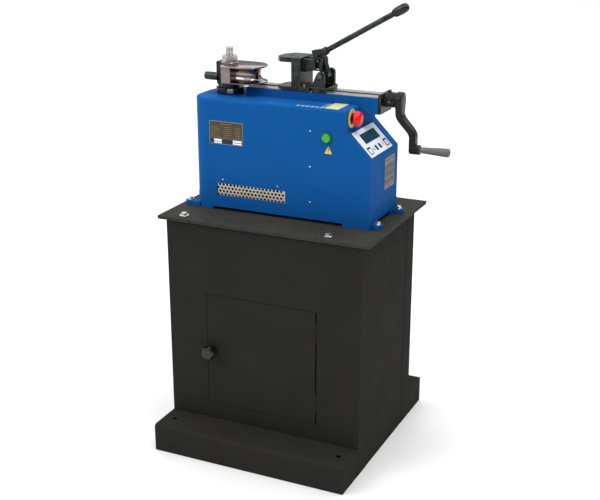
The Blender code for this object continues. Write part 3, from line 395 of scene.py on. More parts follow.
def piece(name, mesh, finish, body, replaces=(), bevel=0.0, segments=2, degrees=32):
    """A visual piece in world coordinates, riding on a body."""
    data = bpy.data.meshes.new(name)
    mesh.to_mesh(data)
    mesh.free()
    thing = bpy.data.objects.new(name, data)
    bpy.context.scene.collection.objects.link(thing)
    data.materials.append(MAT[finish])
    smooth(data, degrees)
    if bevel:
        soften(thing, bevel, segments)
    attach(thing, body)
    if replaces:
        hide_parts(*replaces)
    return thing


def soften(thing, width, segments=2, degrees=32):
    """Round the sharp edges."""
    modifier = thing.modifiers.new("edges", "BEVEL")
    modifier.width = width
    modifier.segments = segments
    modifier.limit_method = "ANGLE"
    modifier.angle_limit = math.radians(degrees)
    modifier.harden_normals = True
    modifier.use_clamp_overlap = True


def combine(thing, mesh, operation):
    """Cut a shape out of a piece, or keep only what lies inside it."""
    data = bpy.data.meshes.new("tool")
    mesh.to_mesh(data)
    mesh.free()
    other = bpy.data.objects.new("tool", data)
    bpy.context.scene.collection.objects.link(other)
    modifier = thing.modifiers.new("shape", "BOOLEAN")
    modifier.operation = operation
    modifier.solver = "EXACT"
    modifier.object = other
    bpy.context.view_layer.update()
    evaluated = thing.evaluated_get(bpy.context.evaluated_depsgraph_get())
    result = bpy.data.meshes.new_from_object(evaluated)
    thing.modifiers.clear()
    old = thing.data
    thing.data = result
    bpy.data.meshes.remove(old)
    bpy.data.objects.remove(other)
    smooth(result)


def refined(node, width):
    """The CAD node's own shape with its edges rounded, shown in place of the node."""
    mesh = bmesh.new()
    mesh.from_mesh(NODES[node].data)
    bmesh.ops.remove_doubles(mesh, verts=mesh.verts, dist=1e-6)
    bmesh.ops.dissolve_limit(mesh, angle_limit=math.radians(0.6), verts=mesh.verts, edges=mesh.edges)
    for face in mesh.faces:
        face.material_index = 0
    piece(node + "_shape", mesh, FINISH_OF[node], BODY_OF[node], (node,), width)


# ---------------------------------------------------------------- sheet metal and castings
def dress_nodes():
    """Every CAD node gets its finish; the ones with visible edges get them rounded."""
    for node, thing in NODES.items():
        material = MAT[FINISH_OF[node]]
        for index in range(len(thing.material_slots)):
            thing.material_slots[index].material = material
    edges = {
        0.0008: "cabinet_front cabinet_back door front_panel rear_panel console_panel",
        0.0005: "cabinet_left cabinet_right left_end_panel spindle_key slide_rail_front slide_rail_rear",
        0.0012: "front_plinth rear_plinth mounting_plate slide_bed screw_bearing_plate",
        0.0010: "yoke carriage_base lever_head clamp_hook base_skirt",
        0.0006: "top_cover",
    }
    for width, names in edges.items():
        for node in names.split():
            refined(node, width)


# ---------------------------------------------------------------- fasteners
WASHER_T = 0.0020
PLATE_BOLT_R, BASE_BOLT_R = 0.0090, 0.0075
COVER_SCREW_X, COVER_SCREW_HEIGHTS = 0.0934, (0.727, 0.825, 0.922)
GRILLE_RIVETS = ((-0.1705, 0.7595), (-0.0035, 0.7595))


def hex_head(name, axis, centre, seat, sign, radius, height, finish, body, washer=0.0, replaces=()):
    """A chamfered hexagon head, on a washer where one is given."""
    lift = 0.0
    if washer:
        lift = WASHER_T
        rim = [(radius * 0.5, 0), (washer - 0.0004, 0), (washer, 0.0005), (washer, 0.0015),
               (washer - 0.0005, WASHER_T), (radius * 0.5, WASHER_T)]
        piece(name + "_washer", tube(lifted(rim, seat, sign), axis, centre, 48), finish, body, replaces)
        replaces = ()
    low, high = seat + sign * lift, seat + sign * (lift + height)
    head = piece(name + "_head", prism(circle(centre, radius, 6), axis, low, high), finish, body, replaces)
    apothem = radius * 0.87
    lathe = [(apothem * 0.98, low), (radius * 1.02, low + sign * 0.0006),
             (radius * 1.02, high - sign * radius * 0.12), (apothem * 0.93, high)]
    combine(head, turned(lathe, axis, centre, 48), "INTERSECT")
    soften(head, 0.0003, 1)


def bolts():
    """Heads and washers of the bolts in the plate and the base, as tall as in the CAD."""
    for node, (low, high) in ((n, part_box(n)) for n in NODES if "bolt" in n):
        radius = PLATE_BOLT_R if node.startswith("plate") else BASE_BOLT_R
        height = 0.65 * radius + 0.0008
        seat = high.z - height - WASHER_T
        hex_head(node, "z", middle_of(node, "z"), seat, 1, radius, height, "zinc", "stand",
                 (high.x - low.x) / 2, (node,))


def dome_screw(name, centre, face, radius, height):
    """A low domed head with a cross recess, on a plane that faces -Y."""
    profile = [(radius, 0.0), (radius, 0.25 * height), (radius * 0.86, 0.66 * height),
               (radius * 0.6, 0.9 * height), (radius * 0.25, height)]
    head = piece(name, turned(lifted(profile, face, -1), "y", centre, 32), "zinc", "stand")
    u, v = centre
    for wide, tall in ((radius * 0.9, radius * 0.2), (radius * 0.2, radius * 0.9)):
        recess = [(u - wide / 2, v - tall / 2), (u + wide / 2, v - tall / 2),
                  (u + wide / 2, v + tall / 2), (u - wide / 2, v + tall / 2)]
        combine(head, prism(recess, "y", face - 2 * height, face - 0.55 * height), "DIFFERENCE")


def panel_screws():
    """The front panel's cover screws and the two rivets of its grille."""
    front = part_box("front_panel")[0].y
    for index, height in enumerate(COVER_SCREW_HEIGHTS):
        dome_screw(f"cover_screw_{index + 1}", (COVER_SCREW_X, height), front, 0.0027, 0.0015)
    profile = lifted([(0.0024, 0), (0.0022, 0.0006), (0.0013, 0.0011)], front, -1)
    for index, place in enumerate(GRILLE_RIVETS):
        piece(f"grille_rivet_{index + 1}", turned(profile, "y", place, 24), "zinc", "stand")


# ---------------------------------------------------------------- labels and controls
FILM = 0.00005
CAUTION = (0.146, 0.8725)
STRIPE, STRIPES_LEFT, STRIPES_NEAR, STRIPES_FAR = 0.0056, 0.1290, -0.0800, -0.0065
TICK_LEFT, TICK_PITCH, TICK_NEAR, TICK_FAR = 0.0460, 0.0135, -0.0790, -0.0690
STEP_X, STEP_LOW, END_X, CONSOLE_LOW = 0.1970, 0.9295, 0.2650, 0.8600


def rounded(low_u, low_v, high_u, high_v, radius, steps=5):
    """A rectangle's outline with round corners."""
    outline = arc(high_u - radius, high_v - radius, radius, 0, 90, steps)
    outline += arc(low_u + radius, high_v - radius, radius, 90, 180, steps)
    outline += arc(low_u + radius, low_v + radius, radius, 180, 270, steps)
    outline += arc(high_u - radius, low_v + radius, radius, 270, 360, steps)
    return outline


def printed(name, outlines, place, low, high, finish, replaces=(), bevel=0.0, segments=2):
    """Small flat tiles in one piece; place(u, v, h) maps a tile's point and its height."""
    solids = [[[place(u, v, h) for u, v in outline] for h in (low, high)] for outline in outlines]
    piece(name, lofts(solids), finish, "stand", replaces, bevel, segments)


def on_front(face):
    """Places a tile on a plane that faces -Y: across, up, height above the plane."""
    return lambda u, v, h: Vector((u, face - h, v))


def rating_plate():
    """A generic data plate: rim, dark field with short bars, pale boxes underneath."""
    low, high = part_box("rating_plate")
    place = on_front(high.y)
    x0, z0, wide, tall = low.x, low.z, high.x - low.x, high.z - low.z
    margin, rim_top, field_top, ink_top = 0.0016, 0.0006, 0.0008, 0.00095
    printed("rating_rim", [rounded(x0, z0, high.x, high.z, 0.0015)], place, 0.0, rim_top, "film_grey",
            ("rating_plate",))
    field = rectangle(x0 + margin, z0 + 0.017, wide - 2 * margin, tall - 0.0186)
    printed("rating_field", [field], place, rim_top, field_top, "film_olive")
    foot = rectangle(x0 + margin, z0 + margin, wide - 2 * margin, 0.0142)
    printed("rating_foot", [foot], place, rim_top, field_top, "film_black")
    bars = [rectangle(x0 + 0.034, z0 + 0.0555, 0.034, 0.0026)]
    for row in range(6):
        height = z0 + 0.0205 + row * 0.0054
        columns = ((0.005, 0.030 - 0.004 * (row % 3)), (0.045, 0.022 + 0.003 * (row % 2)), (0.078, 0.018))
        bars += [rectangle(x0 + u, height, length, 0.0017) for u, length in columns]
    printed("rating_lines", bars, place, field_top, ink_top, "film_ochre")
    boxes = [rectangle(x0 + u, z0 + v, length, height)
             for u, length in ((0.014, 0.024), (0.072, 0.027))
             for v, height in ((0.0085, 0.0056), (0.0025, 0.0044))]
    printed("rating_boxes", boxes, place, field_top, ink_top, "film_white")


def hazard_triangle():
    """A plain yellow triangle with a dark border, under the start button."""
    place = on_front(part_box("front_panel")[0].y)
    border_top, field_top, ink_top = 0.0005, 0.0007, 0.0008

    def corners(size):
        turns = [math.radians(degrees) for degrees in (90, 210, 330)]
        return [(CAUTION[0] + size * math.cos(a), CAUTION[1] + size * math.sin(a)) for a in turns]

    printed("caution_border", [corners(0.0150)], place, FILM, border_top, "film_black")
    printed("caution_field", [corners(0.0132)], place, border_top, field_top, "film_yellow")
    mark = [[(0.1452, 0.8740), (0.1468, 0.8740), (0.1473, 0.8800), (0.1447, 0.8800)],
            rectangle(0.1451, 0.8705, 0.0018, 0.0018)]
    printed("caution_mark", mark, place, field_top, ink_top, "film_black")


def end_label():
    """A grey notice on the end panel, as blank fields."""
    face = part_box("console_panel")[1].x
    sheet_top, field_top, ink_top = 0.0005, 0.0007, 0.00085
    column, row_gap = 0.0340, 0.0200

    def place(u, v, h):
        return Vector((face + h, u, v))

    printed("end_label_sheet", [rounded(0.0162, 0.754, 0.0880, 0.840, 0.002)], place, FILM, sheet_top,
            "film_grey")
    bands = [rectangle(0.0186, 0.8270, 0.0670, 0.0100), rectangle(0.0186, 0.7565, 0.0670, 0.0070)]
    printed("end_label_bands", bands, place, sheet_top, field_top, "film_red")
    dark = [rectangle(0.0190 + column * (k % 2), 0.8050 - row_gap * (k // 2), 0.0320, 0.0180)
            for k in range(4)]
    dark += [rectangle(0.0190, 0.7660, 0.0660, 0.0160)]
    printed("end_label_fields", dark, place, sheet_top, field_top, "film_black")
    lines = [rectangle(0.0206 + column * (k % 2), 0.8066 - row_gap * (k // 2) + row * 0.0041,
                       0.0285 - 0.004 * ((row + k) % 3), 0.0022)
             for k in range(4) for row in range(4)]
    lines += [rectangle(0.0206, 0.7678 + row * 0.0046, 0.060 - 0.012 * row, 0.0024) for row in range(3)]
    printed("end_label_lines", lines, place, field_top, ink_top, "film_brown")


def scale_label():
    """Yellow and white stripes, and two rows of ticks, on the top cover."""
    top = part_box("top_cover")[1].z
    stripe_top, tick_top = 0.0004, 0.0003

    def place(u, v, h):
        return Vector((u, v, top + h))

    stripes = [rectangle(STRIPES_LEFT + k * STRIPE, STRIPES_NEAR, STRIPE, STRIPES_FAR - STRIPES_NEAR)
               for k in range(7)]
    printed("scale_stripes_yellow", stripes[::2], place, FILM, stripe_top, "film_yellow")
    printed("scale_stripes_white", stripes[1::2], place, FILM, stripe_top, "film_pale")
    ticks = []
    for k in range(6):
        u = TICK_LEFT + TICK_PITCH * k
        ticks.append([(u, TICK_NEAR), (u + 0.0080, TICK_NEAR), (u + 0.0110, TICK_FAR + 0.003 * (k % 2)),
                      (u + 0.0030, TICK_FAR)])
    ticks += [rectangle(0.1150, -0.0640 + 0.012 * k, 0.0120, 0.0030) for k in range(4)]
    printed("scale_ticks", ticks, place, FILM, tick_top, "film_pale")


def on_slope(across, along, above):
    """A point over the console's sloping face: y, distance down the slope, height above it."""
    run, drop = END_X - STEP_X, STEP_LOW - CONSOLE_LOW
    length = math.hypot(run, drop)
    return Vector((STEP_X + (along * run + above * drop) / length, across,
                   STEP_LOW + (-along * drop + above * run) / length))


def console():
    """Membrane with its display window and keys."""
    film_top, glass_low = 0.00135, 0.0020
    membrane = rounded(-0.0760, 0.0105, 0.0754, 0.0935, 0.0025)
    printed("membrane_sheet", [membrane], on_slope, 0.0003, 0.0013, "film_white",
            ("control_membrane",), 0.0002, 1)
    window = rounded(-0.0480, 0.0240, 0.0515, 0.0540, 0.0020)
    printed("display_frame", [window], on_slope, film_top, glass_low, "film_blue", (), 0.0002, 1)
    glass = rounded(-0.0430, 0.0272, 0.0465, 0.0508, 0.0010)
    printed("display_glass", [glass], on_slope, glass_low, 0.0026, "lcd", ("display",), 0.0002, 1)
    segments = [rectangle(-0.036 + 0.0085 * k, 0.0315, 0.0055, 0.0046) for k in range(8)]
    segments += [rectangle(-0.036 + 0.0085 * k, 0.0415, 0.0055, 0.0046) for k in range(5)]
    printed("display_segments", segments, on_slope, 0.0026, 0.00265, "lcd_ink")
    frames = [rounded(u, 0.0640, v, 0.0860, 0.0025) for u, v in ((-0.0660, -0.0440), (0.0480, 0.0700))]
    printed("end_key_frames", frames, on_slope, film_top, 0.0017, "film_blue")
    caps = [rounded(u, 0.0690, v, 0.0838, 0.0015) for u, v in ((-0.0625, -0.0475), (0.0515, 0.0665))]
    printed("end_key_caps", caps, on_slope, 0.0017, 0.0021, "film_white", (), 0.0003, 2)
    arrows = {"left": ([(-0.0365, 0.0750), (-0.0275, 0.0690), (-0.0275, 0.0810)], "film_green"),
              "right": ([(0.0395, 0.0750), (0.0305, 0.0690), (0.0305, 0.0810)], "film_yellow")}
    for side, (arrow, finish) in arrows.items():
        printed(f"arrow_key_{side}", [arrow], on_slope, film_top, 0.0018, finish)
    middle = [rounded(u, 0.0680, v, 0.0830, 0.0015) for u, v in ((-0.0180, -0.0060), (0.0070, 0.0190))]
    printed("middle_keys", middle, on_slope, film_top, 0.0019, "film_blue", (), 0.0003, 2)


def emergency_stop():
    """Backing disc, collar, mushroom head and stem of the emergency stop."""
    centre, x = middle_of("estop_disc", "x"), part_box("estop_disc")[0].x
    disc = [(0.0090, 0), (0.0238, 0), (0.0248, 0.0006), (0.0248, 0.0014), (0.0240, 0.0019), (0.0090, 0.0019)]
    piece("stop_backing", tube(lifted(disc, x), "x", centre, 72), "yellow", "stand", ("estop_disc",))
    collar = [(0.0086, 0.0020), (0.0150, 0.0020), (0.0150, 0.0034), (0.0142, 0.0042), (0.0086, 0.0043)]
    piece("stop_collar", tube(lifted(collar, x), "x", centre, 64), "black_plastic", "stand")
    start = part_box("estop_button")[0].x
    head = [(0.0108, 0), (0.0112, 0.0006), (0.0188, 0.0011), (0.0197, 0.0018), (0.0200, 0.0030),
            (0.0200, 0.0080), (0.0197, 0.0100), (0.0189, 0.0124), (0.0173, 0.0144), (0.0150, 0.0158),
            (0.0118, 0.0169), (0.0080, 0.0176), (0.0040, 0.0179), (0.0014, 0.0180)]
    piece("stop_mushroom", turned(lifted(head, start), "x", centre, 72), "red", "stop_head",
          ("estop_button",), degrees=50)
    stem = [(0.0078, 0.0300), (0.0080, 0.0295), (0.0080, 0.0006), (0.0078, 0.0003)]
    piece("stop_stem", turned(lifted(stem, start, -1), "x", centre, 40), "black_plastic", "stop_stem",
          ("estop_stem",))


def start_button():
    """Bezel ring and dished cap of the start button."""
    centre, face = middle_of("start_bezel", "y"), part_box("start_bezel")[1].y
    rim = [(0.0124, 0), (0.0152, 0), (0.0152, 0.0034), (0.0149, 0.0044), (0.0142, 0.0050),
           (0.0130, 0.0048), (0.0124, 0.0040)]
    piece("start_ring", tube(lifted(rim, face, -1), "y", centre, 64), "green_dark", "stand",
          ("start_bezel",))
    cap = [(0.0118, 0.0150), (0.0118, 0.0018), (0.0114, 0.0008), (0.0104, 0.0002), (0.0090, 0),
           (0.0084, 0.0004), (0.0078, 0.0006), (0.0030, 0.0006)]
    piece("start_cap", turned(lifted(cap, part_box("start_button")[0].y), "y", centre, 64), "green",
          "start", ("start_button",))


def grille():
    """The vent plate with four staggered rows of punched holes."""
    low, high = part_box("vent_grille")
    plate = piece("vent_mesh", block(low, high), "stainless", "stand", ("vent_grille",))
    pitch, row_gap, radius = 0.01105, 0.0094, 0.0036
    first_left, first_height, past = -0.1870, 0.7160, 0.002
    punches = []
    for row in range(4):
        odd = row % 2
        height = first_height + row * row_gap
        left = first_left + (pitch / 2 if odd else 0.0)
        for k in range(18 if odd else 19):
            points = circle((left + k * pitch, height), radius, 14)
            punches.append([[(u, y, v) for u, v in points] for y in (low.y - past, high.y + past)])
    combine(plate, lofts(punches), "DIFFERENCE")


# ---------------------------------------------------------------- bending head
SPINDLE = (-0.195, 0.008)
KEY_TURN = 28.0
STUD_LOW, STUD_TOP, STUD_R = 1.0642, 1.1080, 0.0105
NUT_R = 0.0215
LOBE, LOBE_R, GROOVE_R = (-0.136, 0.004), 0.054, 0.0195
FLANK_LEFT, POINT_X, BLOCK_RIGHT = -0.193, -0.2215, -0.165


def thread(name, axis, centre, start, end, outer, depth, pitch, finish, body, steps):
    """A helical thread with flat crests and roots on a solid core."""
    profile = (0.0, 0.0, 0.5, 1.0, 1.0, 0.5)
    parts = len(profile)
    count = int(round((end - start) / pitch)) * parts
    rings = []
    for k in range(count + 1):
        along = start + (end - start) * k / count
        ring = []
        for i, (cos_u, sin_u) in enumerate(circle((0, 0), 1.0, steps)):
            phase = (k + parts * i / steps) % parts
            low = int(phase)
            share = phase - low
            dip = profile[low] * (1 - share) + profile[(low + 1) % parts] * share
            radius = outer - depth * dip
            ring.append(at(axis, centre[0] + radius * cos_u, centre[1] + radius * sin_u, along))
        rings.append(ring)
    piece(name, loft(rings), finish, body, degrees=50)


def key_block(half, near, far, low, high):
    """A block in the flange's rim, between two distances from the spindle axis."""
    turn = math.radians(KEY_TURN)
    outward, across = (math.sin(turn), -math.cos(turn)), (math.cos(turn), math.sin(turn))
    outline = [(SPINDLE[0] + r * outward[0] + w * across[0], SPINDLE[1] + r * outward[1] + w * across[1])
               for r, w in ((near, -half), (far, -half), (far, half), (near, half))]
    return prism(outline, "z", low, high)


def spindle():
    """Hub with its keyway, threaded stud and stud tip."""
    hub = [(0.0176, 0.742), (0.0180, 0.7425), (0.0180, 0.9836), (0.0384, 0.9838), (0.0390, 0.9844),
           (0.0390, 0.9992), (0.0380, 1.0000), (0.0268, 1.0003), (0.0260, 1.0009), (0.0260, 1.0158),
           (0.0256, 1.0162), (0.0145, 1.0163), (0.0145, 1.0640), (0.0108, 1.0641)]
    shaft = piece("spindle_hub", turned(hub, "z", SPINDLE, 96), "black_steel", "spindle", ("spindle",))
    key_low, key_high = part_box("spindle_key")
    keyway = key_block(0.0083, 0.0335, 0.0500, key_low.z - 0.0003, key_high.z + 0.01)
    combine(shaft, keyway, "DIFFERENCE")
    thread("spindle_stud_thread", "z", SPINDLE, STUD_LOW, STUD_TOP, STUD_R, 0.0011, 0.0025, "turned",
           "spindle", 32)
    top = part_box("spindle")[1].z
    tip = [(0.0095, 1.1079), (0.0102, 1.1081), (0.0090, top - 0.0003), (0.0084, top)]
    piece("spindle_stud_tip", turned(tip, "z", SPINDLE, 48), "turned", "spindle")


def washer_and_nut():
    """The former's washer and its chamfered hexagon nut."""
    low, high = (corner.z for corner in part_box("former_washer"))
    rim = [(0.0110, low), (0.0229, low), (0.0234, low + 0.0006), (0.0234, high - 0.0006),
           (0.0229, high), (0.0110, high)]
    piece("former_washer_ring", tube(rim, "z", SPINDLE, 80), "turned", "spindle", ("former_washer",))
    low, high = (corner.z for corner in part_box("former_nut"))
    hexagon = arc(*SPINDLE, NUT_R, 30, 330, 5)
    nut = piece("former_nut_hex", prism(hexagon, "z", low, high), "turned", "spindle", ("former_nut",))
    chamfers = [(0.0186, low), (0.0218, low + 0.0020), (0.0218, high - 0.0022), (0.0180, high)]
    combine(nut, turned(chamfers, "z", SPINDLE, 72), "INTERSECT")
    bore = [(0.0106, low - 0.01), (0.0106, high - 0.0012), (0.0130, high + 0.0012)]
    combine(nut, turned(bore, "z", SPINDLE, 48), "DIFFERENCE")
    soften(nut, 0.0003, 1)


def former_outline(inset):
    """The die's plan: a half round, two straight flanks and a blunt point."""
    reach = LOBE_R - inset
    corner, tip = FLANK_LEFT + 0.264 * inset, POINT_X + 0.25 * inset
    points = arc(*LOBE, reach, -90, 90, 96)
    return points + [(corner, LOBE[1] + reach), (tip, LOBE[1]), (corner, LOBE[1] - reach)]


def former():
    """The forming die with its round groove, and the solid block at its point."""
    low, high = (corner.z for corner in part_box("former"))
    middle = (low + high) / 2
    stations = [(0.0026, low), (0.0012, low + 0.0004), (0.0003, low + 0.0012), (0.0, low + 0.0022)]
    stations += [(0.0004, middle - GROOVE_R - 0.0004)]
    for k in range(1, 24):
        angle = math.radians(-90 + 7.5 * k)
        inset = GROOVE_R * math.cos(angle) + 0.0004 * abs(math.sin(angle))
        stations.append((inset, middle + GROOVE_R * math.sin(angle)))
    stations += [(0.0004, middle + GROOVE_R + 0.0004), (0.0, high - 0.0022), (0.0003, high - 0.0012),
                 (0.0012, high - 0.0004), (0.0026, high)]
    rings = [[Vector((x, y, z)) for x, y in former_outline(inset)] for inset, z in stations]
    piece("former_die", loft(rings), "polished", "spindle", ("former",), degrees=40)
    reach, left, tip = LOBE_R - 0.0016, FLANK_LEFT + 0.0004, POINT_X + 0.0005
    end = [(BLOCK_RIGHT, LOBE[1] - reach), (BLOCK_RIGHT, LOBE[1] + reach), (left, LOBE[1] + reach),
           (tip, LOBE[1]), (left, LOBE[1] - reach)]
    piece("former_block", prism(end, "z", low + 0.0012, high - 0.0012), "polished", "spindle", (), 0.0008)


# ---------------------------------------------------------------- slide, crank and lever
SCREW = (0.038, 0.9965)
ARM_X, ARM_SHIFT, GRIP_Z, HEAD_R, HUB_R, BOSS_R = 0.2955, 0.039, 0.869, 0.0225, 0.0205, 0.0130
BEND_TOP, BEND_HEIGHT, ARM_FLARE = 0.963, 0.062, 0.035
ARM_THICK, ARM_WIDE, ARM_TAPER, ARM_CORNER = 0.0089, 0.0139, 0.0025, 0.0042
ARM_STEPS = 110
LEVER_FOOT, LEVER_TOP = Vector((0.0610, 0.038, 1.1007)), Vector((0.2900, 0.038, 1.2307))
YOKE_SCREW = (0.0115, 1.0530)
DOOR_KNOB = (-0.154, 0.294)
KNOB_STEPS, KNOB_LOBES, LOBE_DEPTH = 120, 5, 0.21


def lead_screw():
    """Journal, threaded length and drive end of the screw."""
    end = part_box("lead_screw")[1].x
    journal = [(0.0046, -0.1350), (0.0050, -0.1346), (0.0050, -0.1182)]
    piece("screw_journal", turned(journal, "x", SCREW, 32), "screw", "crank", ("lead_screw",))
    thread("screw_thread", "x", SCREW, -0.1180, 0.1890, 0.0070, 0.0014, 0.006, "screw", "crank", 20)
    drive = [(0.0050, 0.1891), (0.0050, end - 0.0003), (0.0046, end)]
    piece("screw_drive_end", turned(drive, "x", SCREW, 32), "screw", "crank")


def eased(share):
    """Smooth step from 0 to 1."""
    return share * share * (3 - 2 * share)


def crank_section(share):
    """A rounded cross-section of the swan-necked arm; share runs from the foot to the top."""
    top, bottom = SCREW[1] + HEAD_R, GRIP_Z - BOSS_R
    z = bottom + (top - bottom) * share
    bend = min(max((BEND_TOP - z) / BEND_HEIGHT, 0.0), 1.0)
    slope = ARM_SHIFT * 6 * bend * (1 - bend) / BEND_HEIGHT
    thick = ARM_THICK * math.sqrt(1 + slope * slope * 0.7)
    wide = ARM_WIDE + ARM_TAPER * (1 - bend)
    if z > SCREW[1]:
        wide = math.sqrt(max(HEAD_R ** 2 - (z - SCREW[1]) ** 2, 0.0035 ** 2))
    elif z > SCREW[1] - ARM_FLARE:
        wide += (HEAD_R - 0.0002 - wide) * eased((z - SCREW[1] + ARM_FLARE) / ARM_FLARE)
    foot = min(1.0, (z - bottom) / 0.012)
    wide *= math.sqrt(max(0.06, 1 - (1 - foot) ** 2))
    end = min(1.0, (top - z) / 0.003, (z - bottom) / 0.003)
    thick *= 0.84 + 0.16 * math.sqrt(1 - (1 - end) ** 2)
    corner = min(ARM_CORNER, thick * 0.6, wide * 0.6)
    middle = ARM_X + ARM_SHIFT * eased(bend)
    outline = rounded(middle - thick, SCREW[0] - wide, middle + thick, SCREW[0] + wide, corner, 4)
    return [Vector((u, v, z)) for u, v in outline]


def crank():
    """Cast swan-necked arm with a machined hub and its two screws."""
    hub_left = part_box("crank_arm")[0].x
    rings = [crank_section(k / ARM_STEPS) for k in range(ARM_STEPS + 1)]
    piece("crank_casting", loft(rings), "cast_black", "crank", ("crank_arm",), degrees=45)
    hub = [(0.0056, hub_left), (HUB_R - 0.0010, hub_left), (HUB_R, hub_left + 0.0010),
           (HUB_R, hub_left + 0.0225), (HUB_R - 0.0010, hub_left + 0.0250), (HUB_R - 0.0010, ARM_X),
           (0.0056, ARM_X)]
    piece("crank_hub", tube(hub, "x", SCREW, 72), "cast_black", "crank")
    cup = [(0.0034, 0.0020), (0.0034, 0), (0.0030, 0.0002), (0.0016, 0.0006), (0.0010, 0.0012)]
    piece("crank_set_screw", turned(lifted(cup, SCREW[0] - HUB_R), "y", (hub_left + 0.0150, SCREW[1]), 24),
          "zinc", "crank")
    lock = [(0.0038, -0.0050), (0.0038, 0.0006), (0.0052, 0.0008), (0.0054, 0.0040), (0.0049, 0.0048),
            (0.0028, 0.0049), (0.0026, 0.0036)]
    piece("crank_lock_screw", turned(lifted(lock, SCREW[1] + HUB_R), "z", (hub_left + 0.0080, SCREW[0]), 32),
          "black_steel", "crank")


def crank_handle():
    """The boss at the arm's foot, with the axle and the turning grip."""
    end_x = ARM_X + ARM_SHIFT
    centre = (SCREW[0], GRIP_Z)
    boss = [(0.0118, 0.0060), (BOSS_R, 0.0070), (BOSS_R, 0.0192), (0.0122, 0.0208), (0.0090, 0.0212)]
    piece("crank_boss", turned(lifted(boss, end_x), "x", centre, 48), "cast_black", "crank")
    axle = [(0.0040, end_x + 0.0180), (0.0040, 0.4245), (0.0036, 0.4250)]
    piece("grip_axle", turned(axle, "x", centre, 24), "turned", "crank")
    grip = [(0.0045, 0), (0.0066, 0), (0.0080, 0.0006), (0.0086, 0.0022), (0.0084, 0.0060),
            (0.0090, 0.0180), (0.0100, 0.0340), (0.0110, 0.0520), (0.0117, 0.0660), (0.0118, 0.0700),
            (0.0114, 0.0730), (0.0104, 0.0746), (0.0070, 0.0750), (0.0045, 0.0750)]
    piece("grip_sleeve", tube(lifted(grip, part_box("crank_grip")[0].x), "x", centre, 48), "grip", "grip",
          ("crank_grip",), degrees=40)


def slanted(start, direction, profile):
    """A solid of revolution about a slanting line in the slide's middle plane."""
    side = Vector((0.0, 1.0, 0.0))
    up = side.cross(direction)
    rings = []
    for radius, along in profile:
        middle = start + direction * along
        rings.append([middle + side * u + up * v for u, v in circle((0.0, 0.0), radius, 48)])
    return loft(rings)


def lever():
    """Rod, knob and the two pins of the hand lever."""
    direction = (LEVER_TOP - LEVER_FOOT).normalized()
    length = (LEVER_TOP - LEVER_FOOT).length
    rod = [(0.0070, 0.0052), (0.0074, 0.0060), (0.0074, length - 0.0016), (0.0070, length - 0.0008)]
    piece("lever_bar", slanted(LEVER_FOOT, direction, rod), "black_steel", "lever", ("lever_rod",))
    knob = [(0.0080, -0.0220), (0.0096, -0.0218), (0.0104, -0.0205), (0.0116, -0.0165), (0.0124, -0.0100),
            (0.01265, -0.0020), (0.01270, 0.0020), (0.0125, 0.0080), (0.0118, 0.0135), (0.0100, 0.0180),
            (0.0078, 0.0208), (0.0040, 0.0220)]
    piece("lever_handle", slanted(LEVER_TOP, direction, knob), "black_plastic", "lever", ("lever_knob",),
          degrees=45)
    low, high = (corner.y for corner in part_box("lever_pivot_pin"))
    pivot = middle_of("lever_pivot_pin", "y")
    hex_head("pivot_bolt", "y", pivot, low + 0.0042, -1, 0.0078, 0.0042, "pin", "carriage",
             replaces=("lever_pivot_pin",))
    shank = [(0.0046, high), (0.0049, high - 0.0006), (0.0049, low + 0.0043)]
    piece("pivot_shank", turned(shank, "y", pivot, 32), "pin", "carriage")
    low, high = (corner.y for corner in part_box("link_pin"))
    pin = [(0.0034, low), (0.0040, low + 0.0006), (0.0040, high - 0.0006), (0.0034, high)]
    piece("link_pin_round", turned(pin, "y", middle_of("link_pin", "y"), 32), "pin", "lever",
          ("link_pin",))


def yoke_details():
    """Set screw in the post and the two guide screws on the foot."""
    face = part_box("yoke")[0].y
    cup = [(0.0040, 0.0038), (0.0040, 0.0010), (0.0038, 0.0006), (0.0022, 0.0008), (0.0015, 0.0022)]
    piece("yoke_set_screw", turned(lifted(cup, face), "y", YOKE_SCREW, 24), "pin", "yoke")
    profile = [(0.0039, 1.0156), (0.0040, 1.0227), (0.0035, 1.0239), (0.0020, 1.0239), (0.0018, 1.0224)]
    for index, centre in enumerate(((0.0330, face + 0.008), (0.0400, 0.034))):
        piece(f"yoke_guide_screw_{index + 1}", turned(profile, "z", centre, 32), "turned", "yoke")


def door_knob():
    """Lobed hand knob with a domed face, its stem and its latch cam."""
    stations = [(0.0128, -0.2035), (0.0150, -0.2050), (0.0178, -0.2090), (0.0198, -0.2150),
                (0.0208, -0.2210), (0.0210, -0.2250), (0.0206, -0.2290), (0.0194, -0.2320),
                (0.0168, -0.2338), (0.0120, -0.2344), (0.0060, -0.2345)]
    u, v = DOOR_KNOB
    rings = []
    for radius, y in stations:
        ring = []
        share = max(0.0, min(1.0, (radius - 0.010) / 0.010))
        for k in range(KNOB_STEPS):
            angle = 2 * math.pi * k / KNOB_STEPS
            dip = LOBE_DEPTH * share * (0.5 - 0.5 * math.cos(KNOB_LOBES * angle)) ** 1.2
            reach = radius * (1 - dip)
            ring.append(at("y", u + reach * math.cos(angle), v + reach * math.sin(angle), y))
        rings.append(ring)
    piece("knob_head", loft(rings), "black_plastic", "latch", ("door_knob",), degrees=50)
    stem = [(0.0052, -0.2040), (0.0052, -0.1870)]
    piece("knob_stem", turned(stem, "y", DOOR_KNOB, 32), "zinc", "latch")
    cam = block((u - 0.010, -0.1900, v - 0.034), (u + 0.010, -0.1872, v + 0.010))
    piece("latch_cam", cam, "zinc", "latch", (), 0.0008)


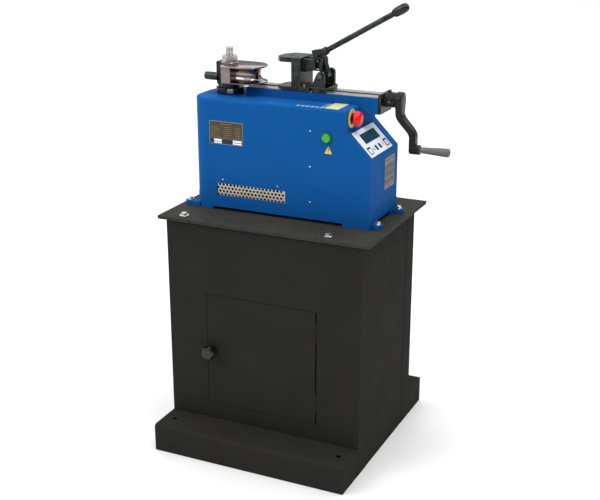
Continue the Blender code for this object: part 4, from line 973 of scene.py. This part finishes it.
# ---------------------------------------------------------------- studio
FLOOR_HALF, WORLD_STRENGTH = 30.0, 0.30
CAMERA_PLACE, CAMERA_DOWN, CAMERA_TURN = (1.274, -2.685, 1.581), 19.138, 24.997
LENS, SENSOR = 66.61, 36.0
LIGHTS = {  # name: place, target, size across and along, watts
    "sky_panel": ((-4.0, 3.0, 6.5), (-4.0, 3.0, 0.0), (20.0, 28.0), 2200),
    "key": ((-1.9, -2.4, 2.9), (0, 0, 0.75), (1.6, 1.6), 30),
    "rim": ((1.6, 1.6, 2.2), (0.1, 0, 0.9), (0.5, 1.2), 3),
    "console_light": ((1.3, -0.4, 3.6), (0.25, 0.0, 0.9), (0.8, 0.8), 25),
}


def area_light(name, place, target, size, energy):
    """A white rectangular lamp that faces its target."""
    data = bpy.data.lights.new(name, "AREA")
    data.shape = "RECTANGLE"
    data.size, data.size_y = size
    data.energy = energy
    lamp = bpy.data.objects.new(name, data)
    lamp.location = place
    lamp.rotation_euler = (Vector(target) - Vector(place)).to_track_quat("-Z", "Y").to_euler()
    bpy.context.scene.collection.objects.link(lamp)


def pale_floor():
    """A wide, plain floor with a faint unevenness of tone."""
    material, tree, shader = new_material("pale_floor")
    cloud = noise(tree, coordinates(tree), 1.5, 3.0)
    tree.links.new(blend_colour(tree, cloud, (0.86, 0.86, 0.86), (0.90, 0.90, 0.90)),
                   shader.inputs["Base Color"])
    shader.inputs["Roughness"].default_value = 0.75
    floor = bpy.data.objects.new("floor", bpy.data.meshes.new("floor"))
    mesh = bmesh.new()
    bmesh.ops.create_grid(mesh, x_segments=8, y_segments=8, size=FLOOR_HALF)
    mesh.to_mesh(floor.data)
    mesh.free()
    floor.data.materials.append(material)
    bpy.context.scene.collection.objects.link(floor)


def studio():
    """Floor, soft light and the camera of the main view."""
    pale_floor()
    world = bpy.data.worlds.new("studio")
    world.use_nodes = True
    sky = world.node_tree.nodes["Background"]
    sky.inputs["Color"].default_value = (1.0, 1.0, 1.0, 1.0)
    sky.inputs["Strength"].default_value = WORLD_STRENGTH
    scene = bpy.context.scene
    scene.world = world
    for name, setting in LIGHTS.items():
        area_light(name, *setting)
    scene.view_settings.view_transform = "Standard"
    camera = bpy.data.objects.new("camera", bpy.data.cameras.new("camera"))
    camera.data.sensor_width = SENSOR
    camera.data.lens = LENS
    camera.data.clip_end = 100.0
    camera.location = CAMERA_PLACE
    camera.rotation_euler = (math.radians(90.0 - CAMERA_DOWN), 0.0, math.radians(CAMERA_TURN))
    scene.collection.objects.link(camera)
    scene.camera = camera


def main():
    dress_nodes()
    bolts()
    panel_screws()
    rating_plate()
    hazard_triangle()
    end_label()
    scale_label()
    console()
    emergency_stop()
    start_button()
    grille()
    spindle()
    washer_and_nut()
    former()
    lead_screw()
    crank()
    crank_handle()
    lever()
    yoke_details()
    door_knob()
    studio()


main()
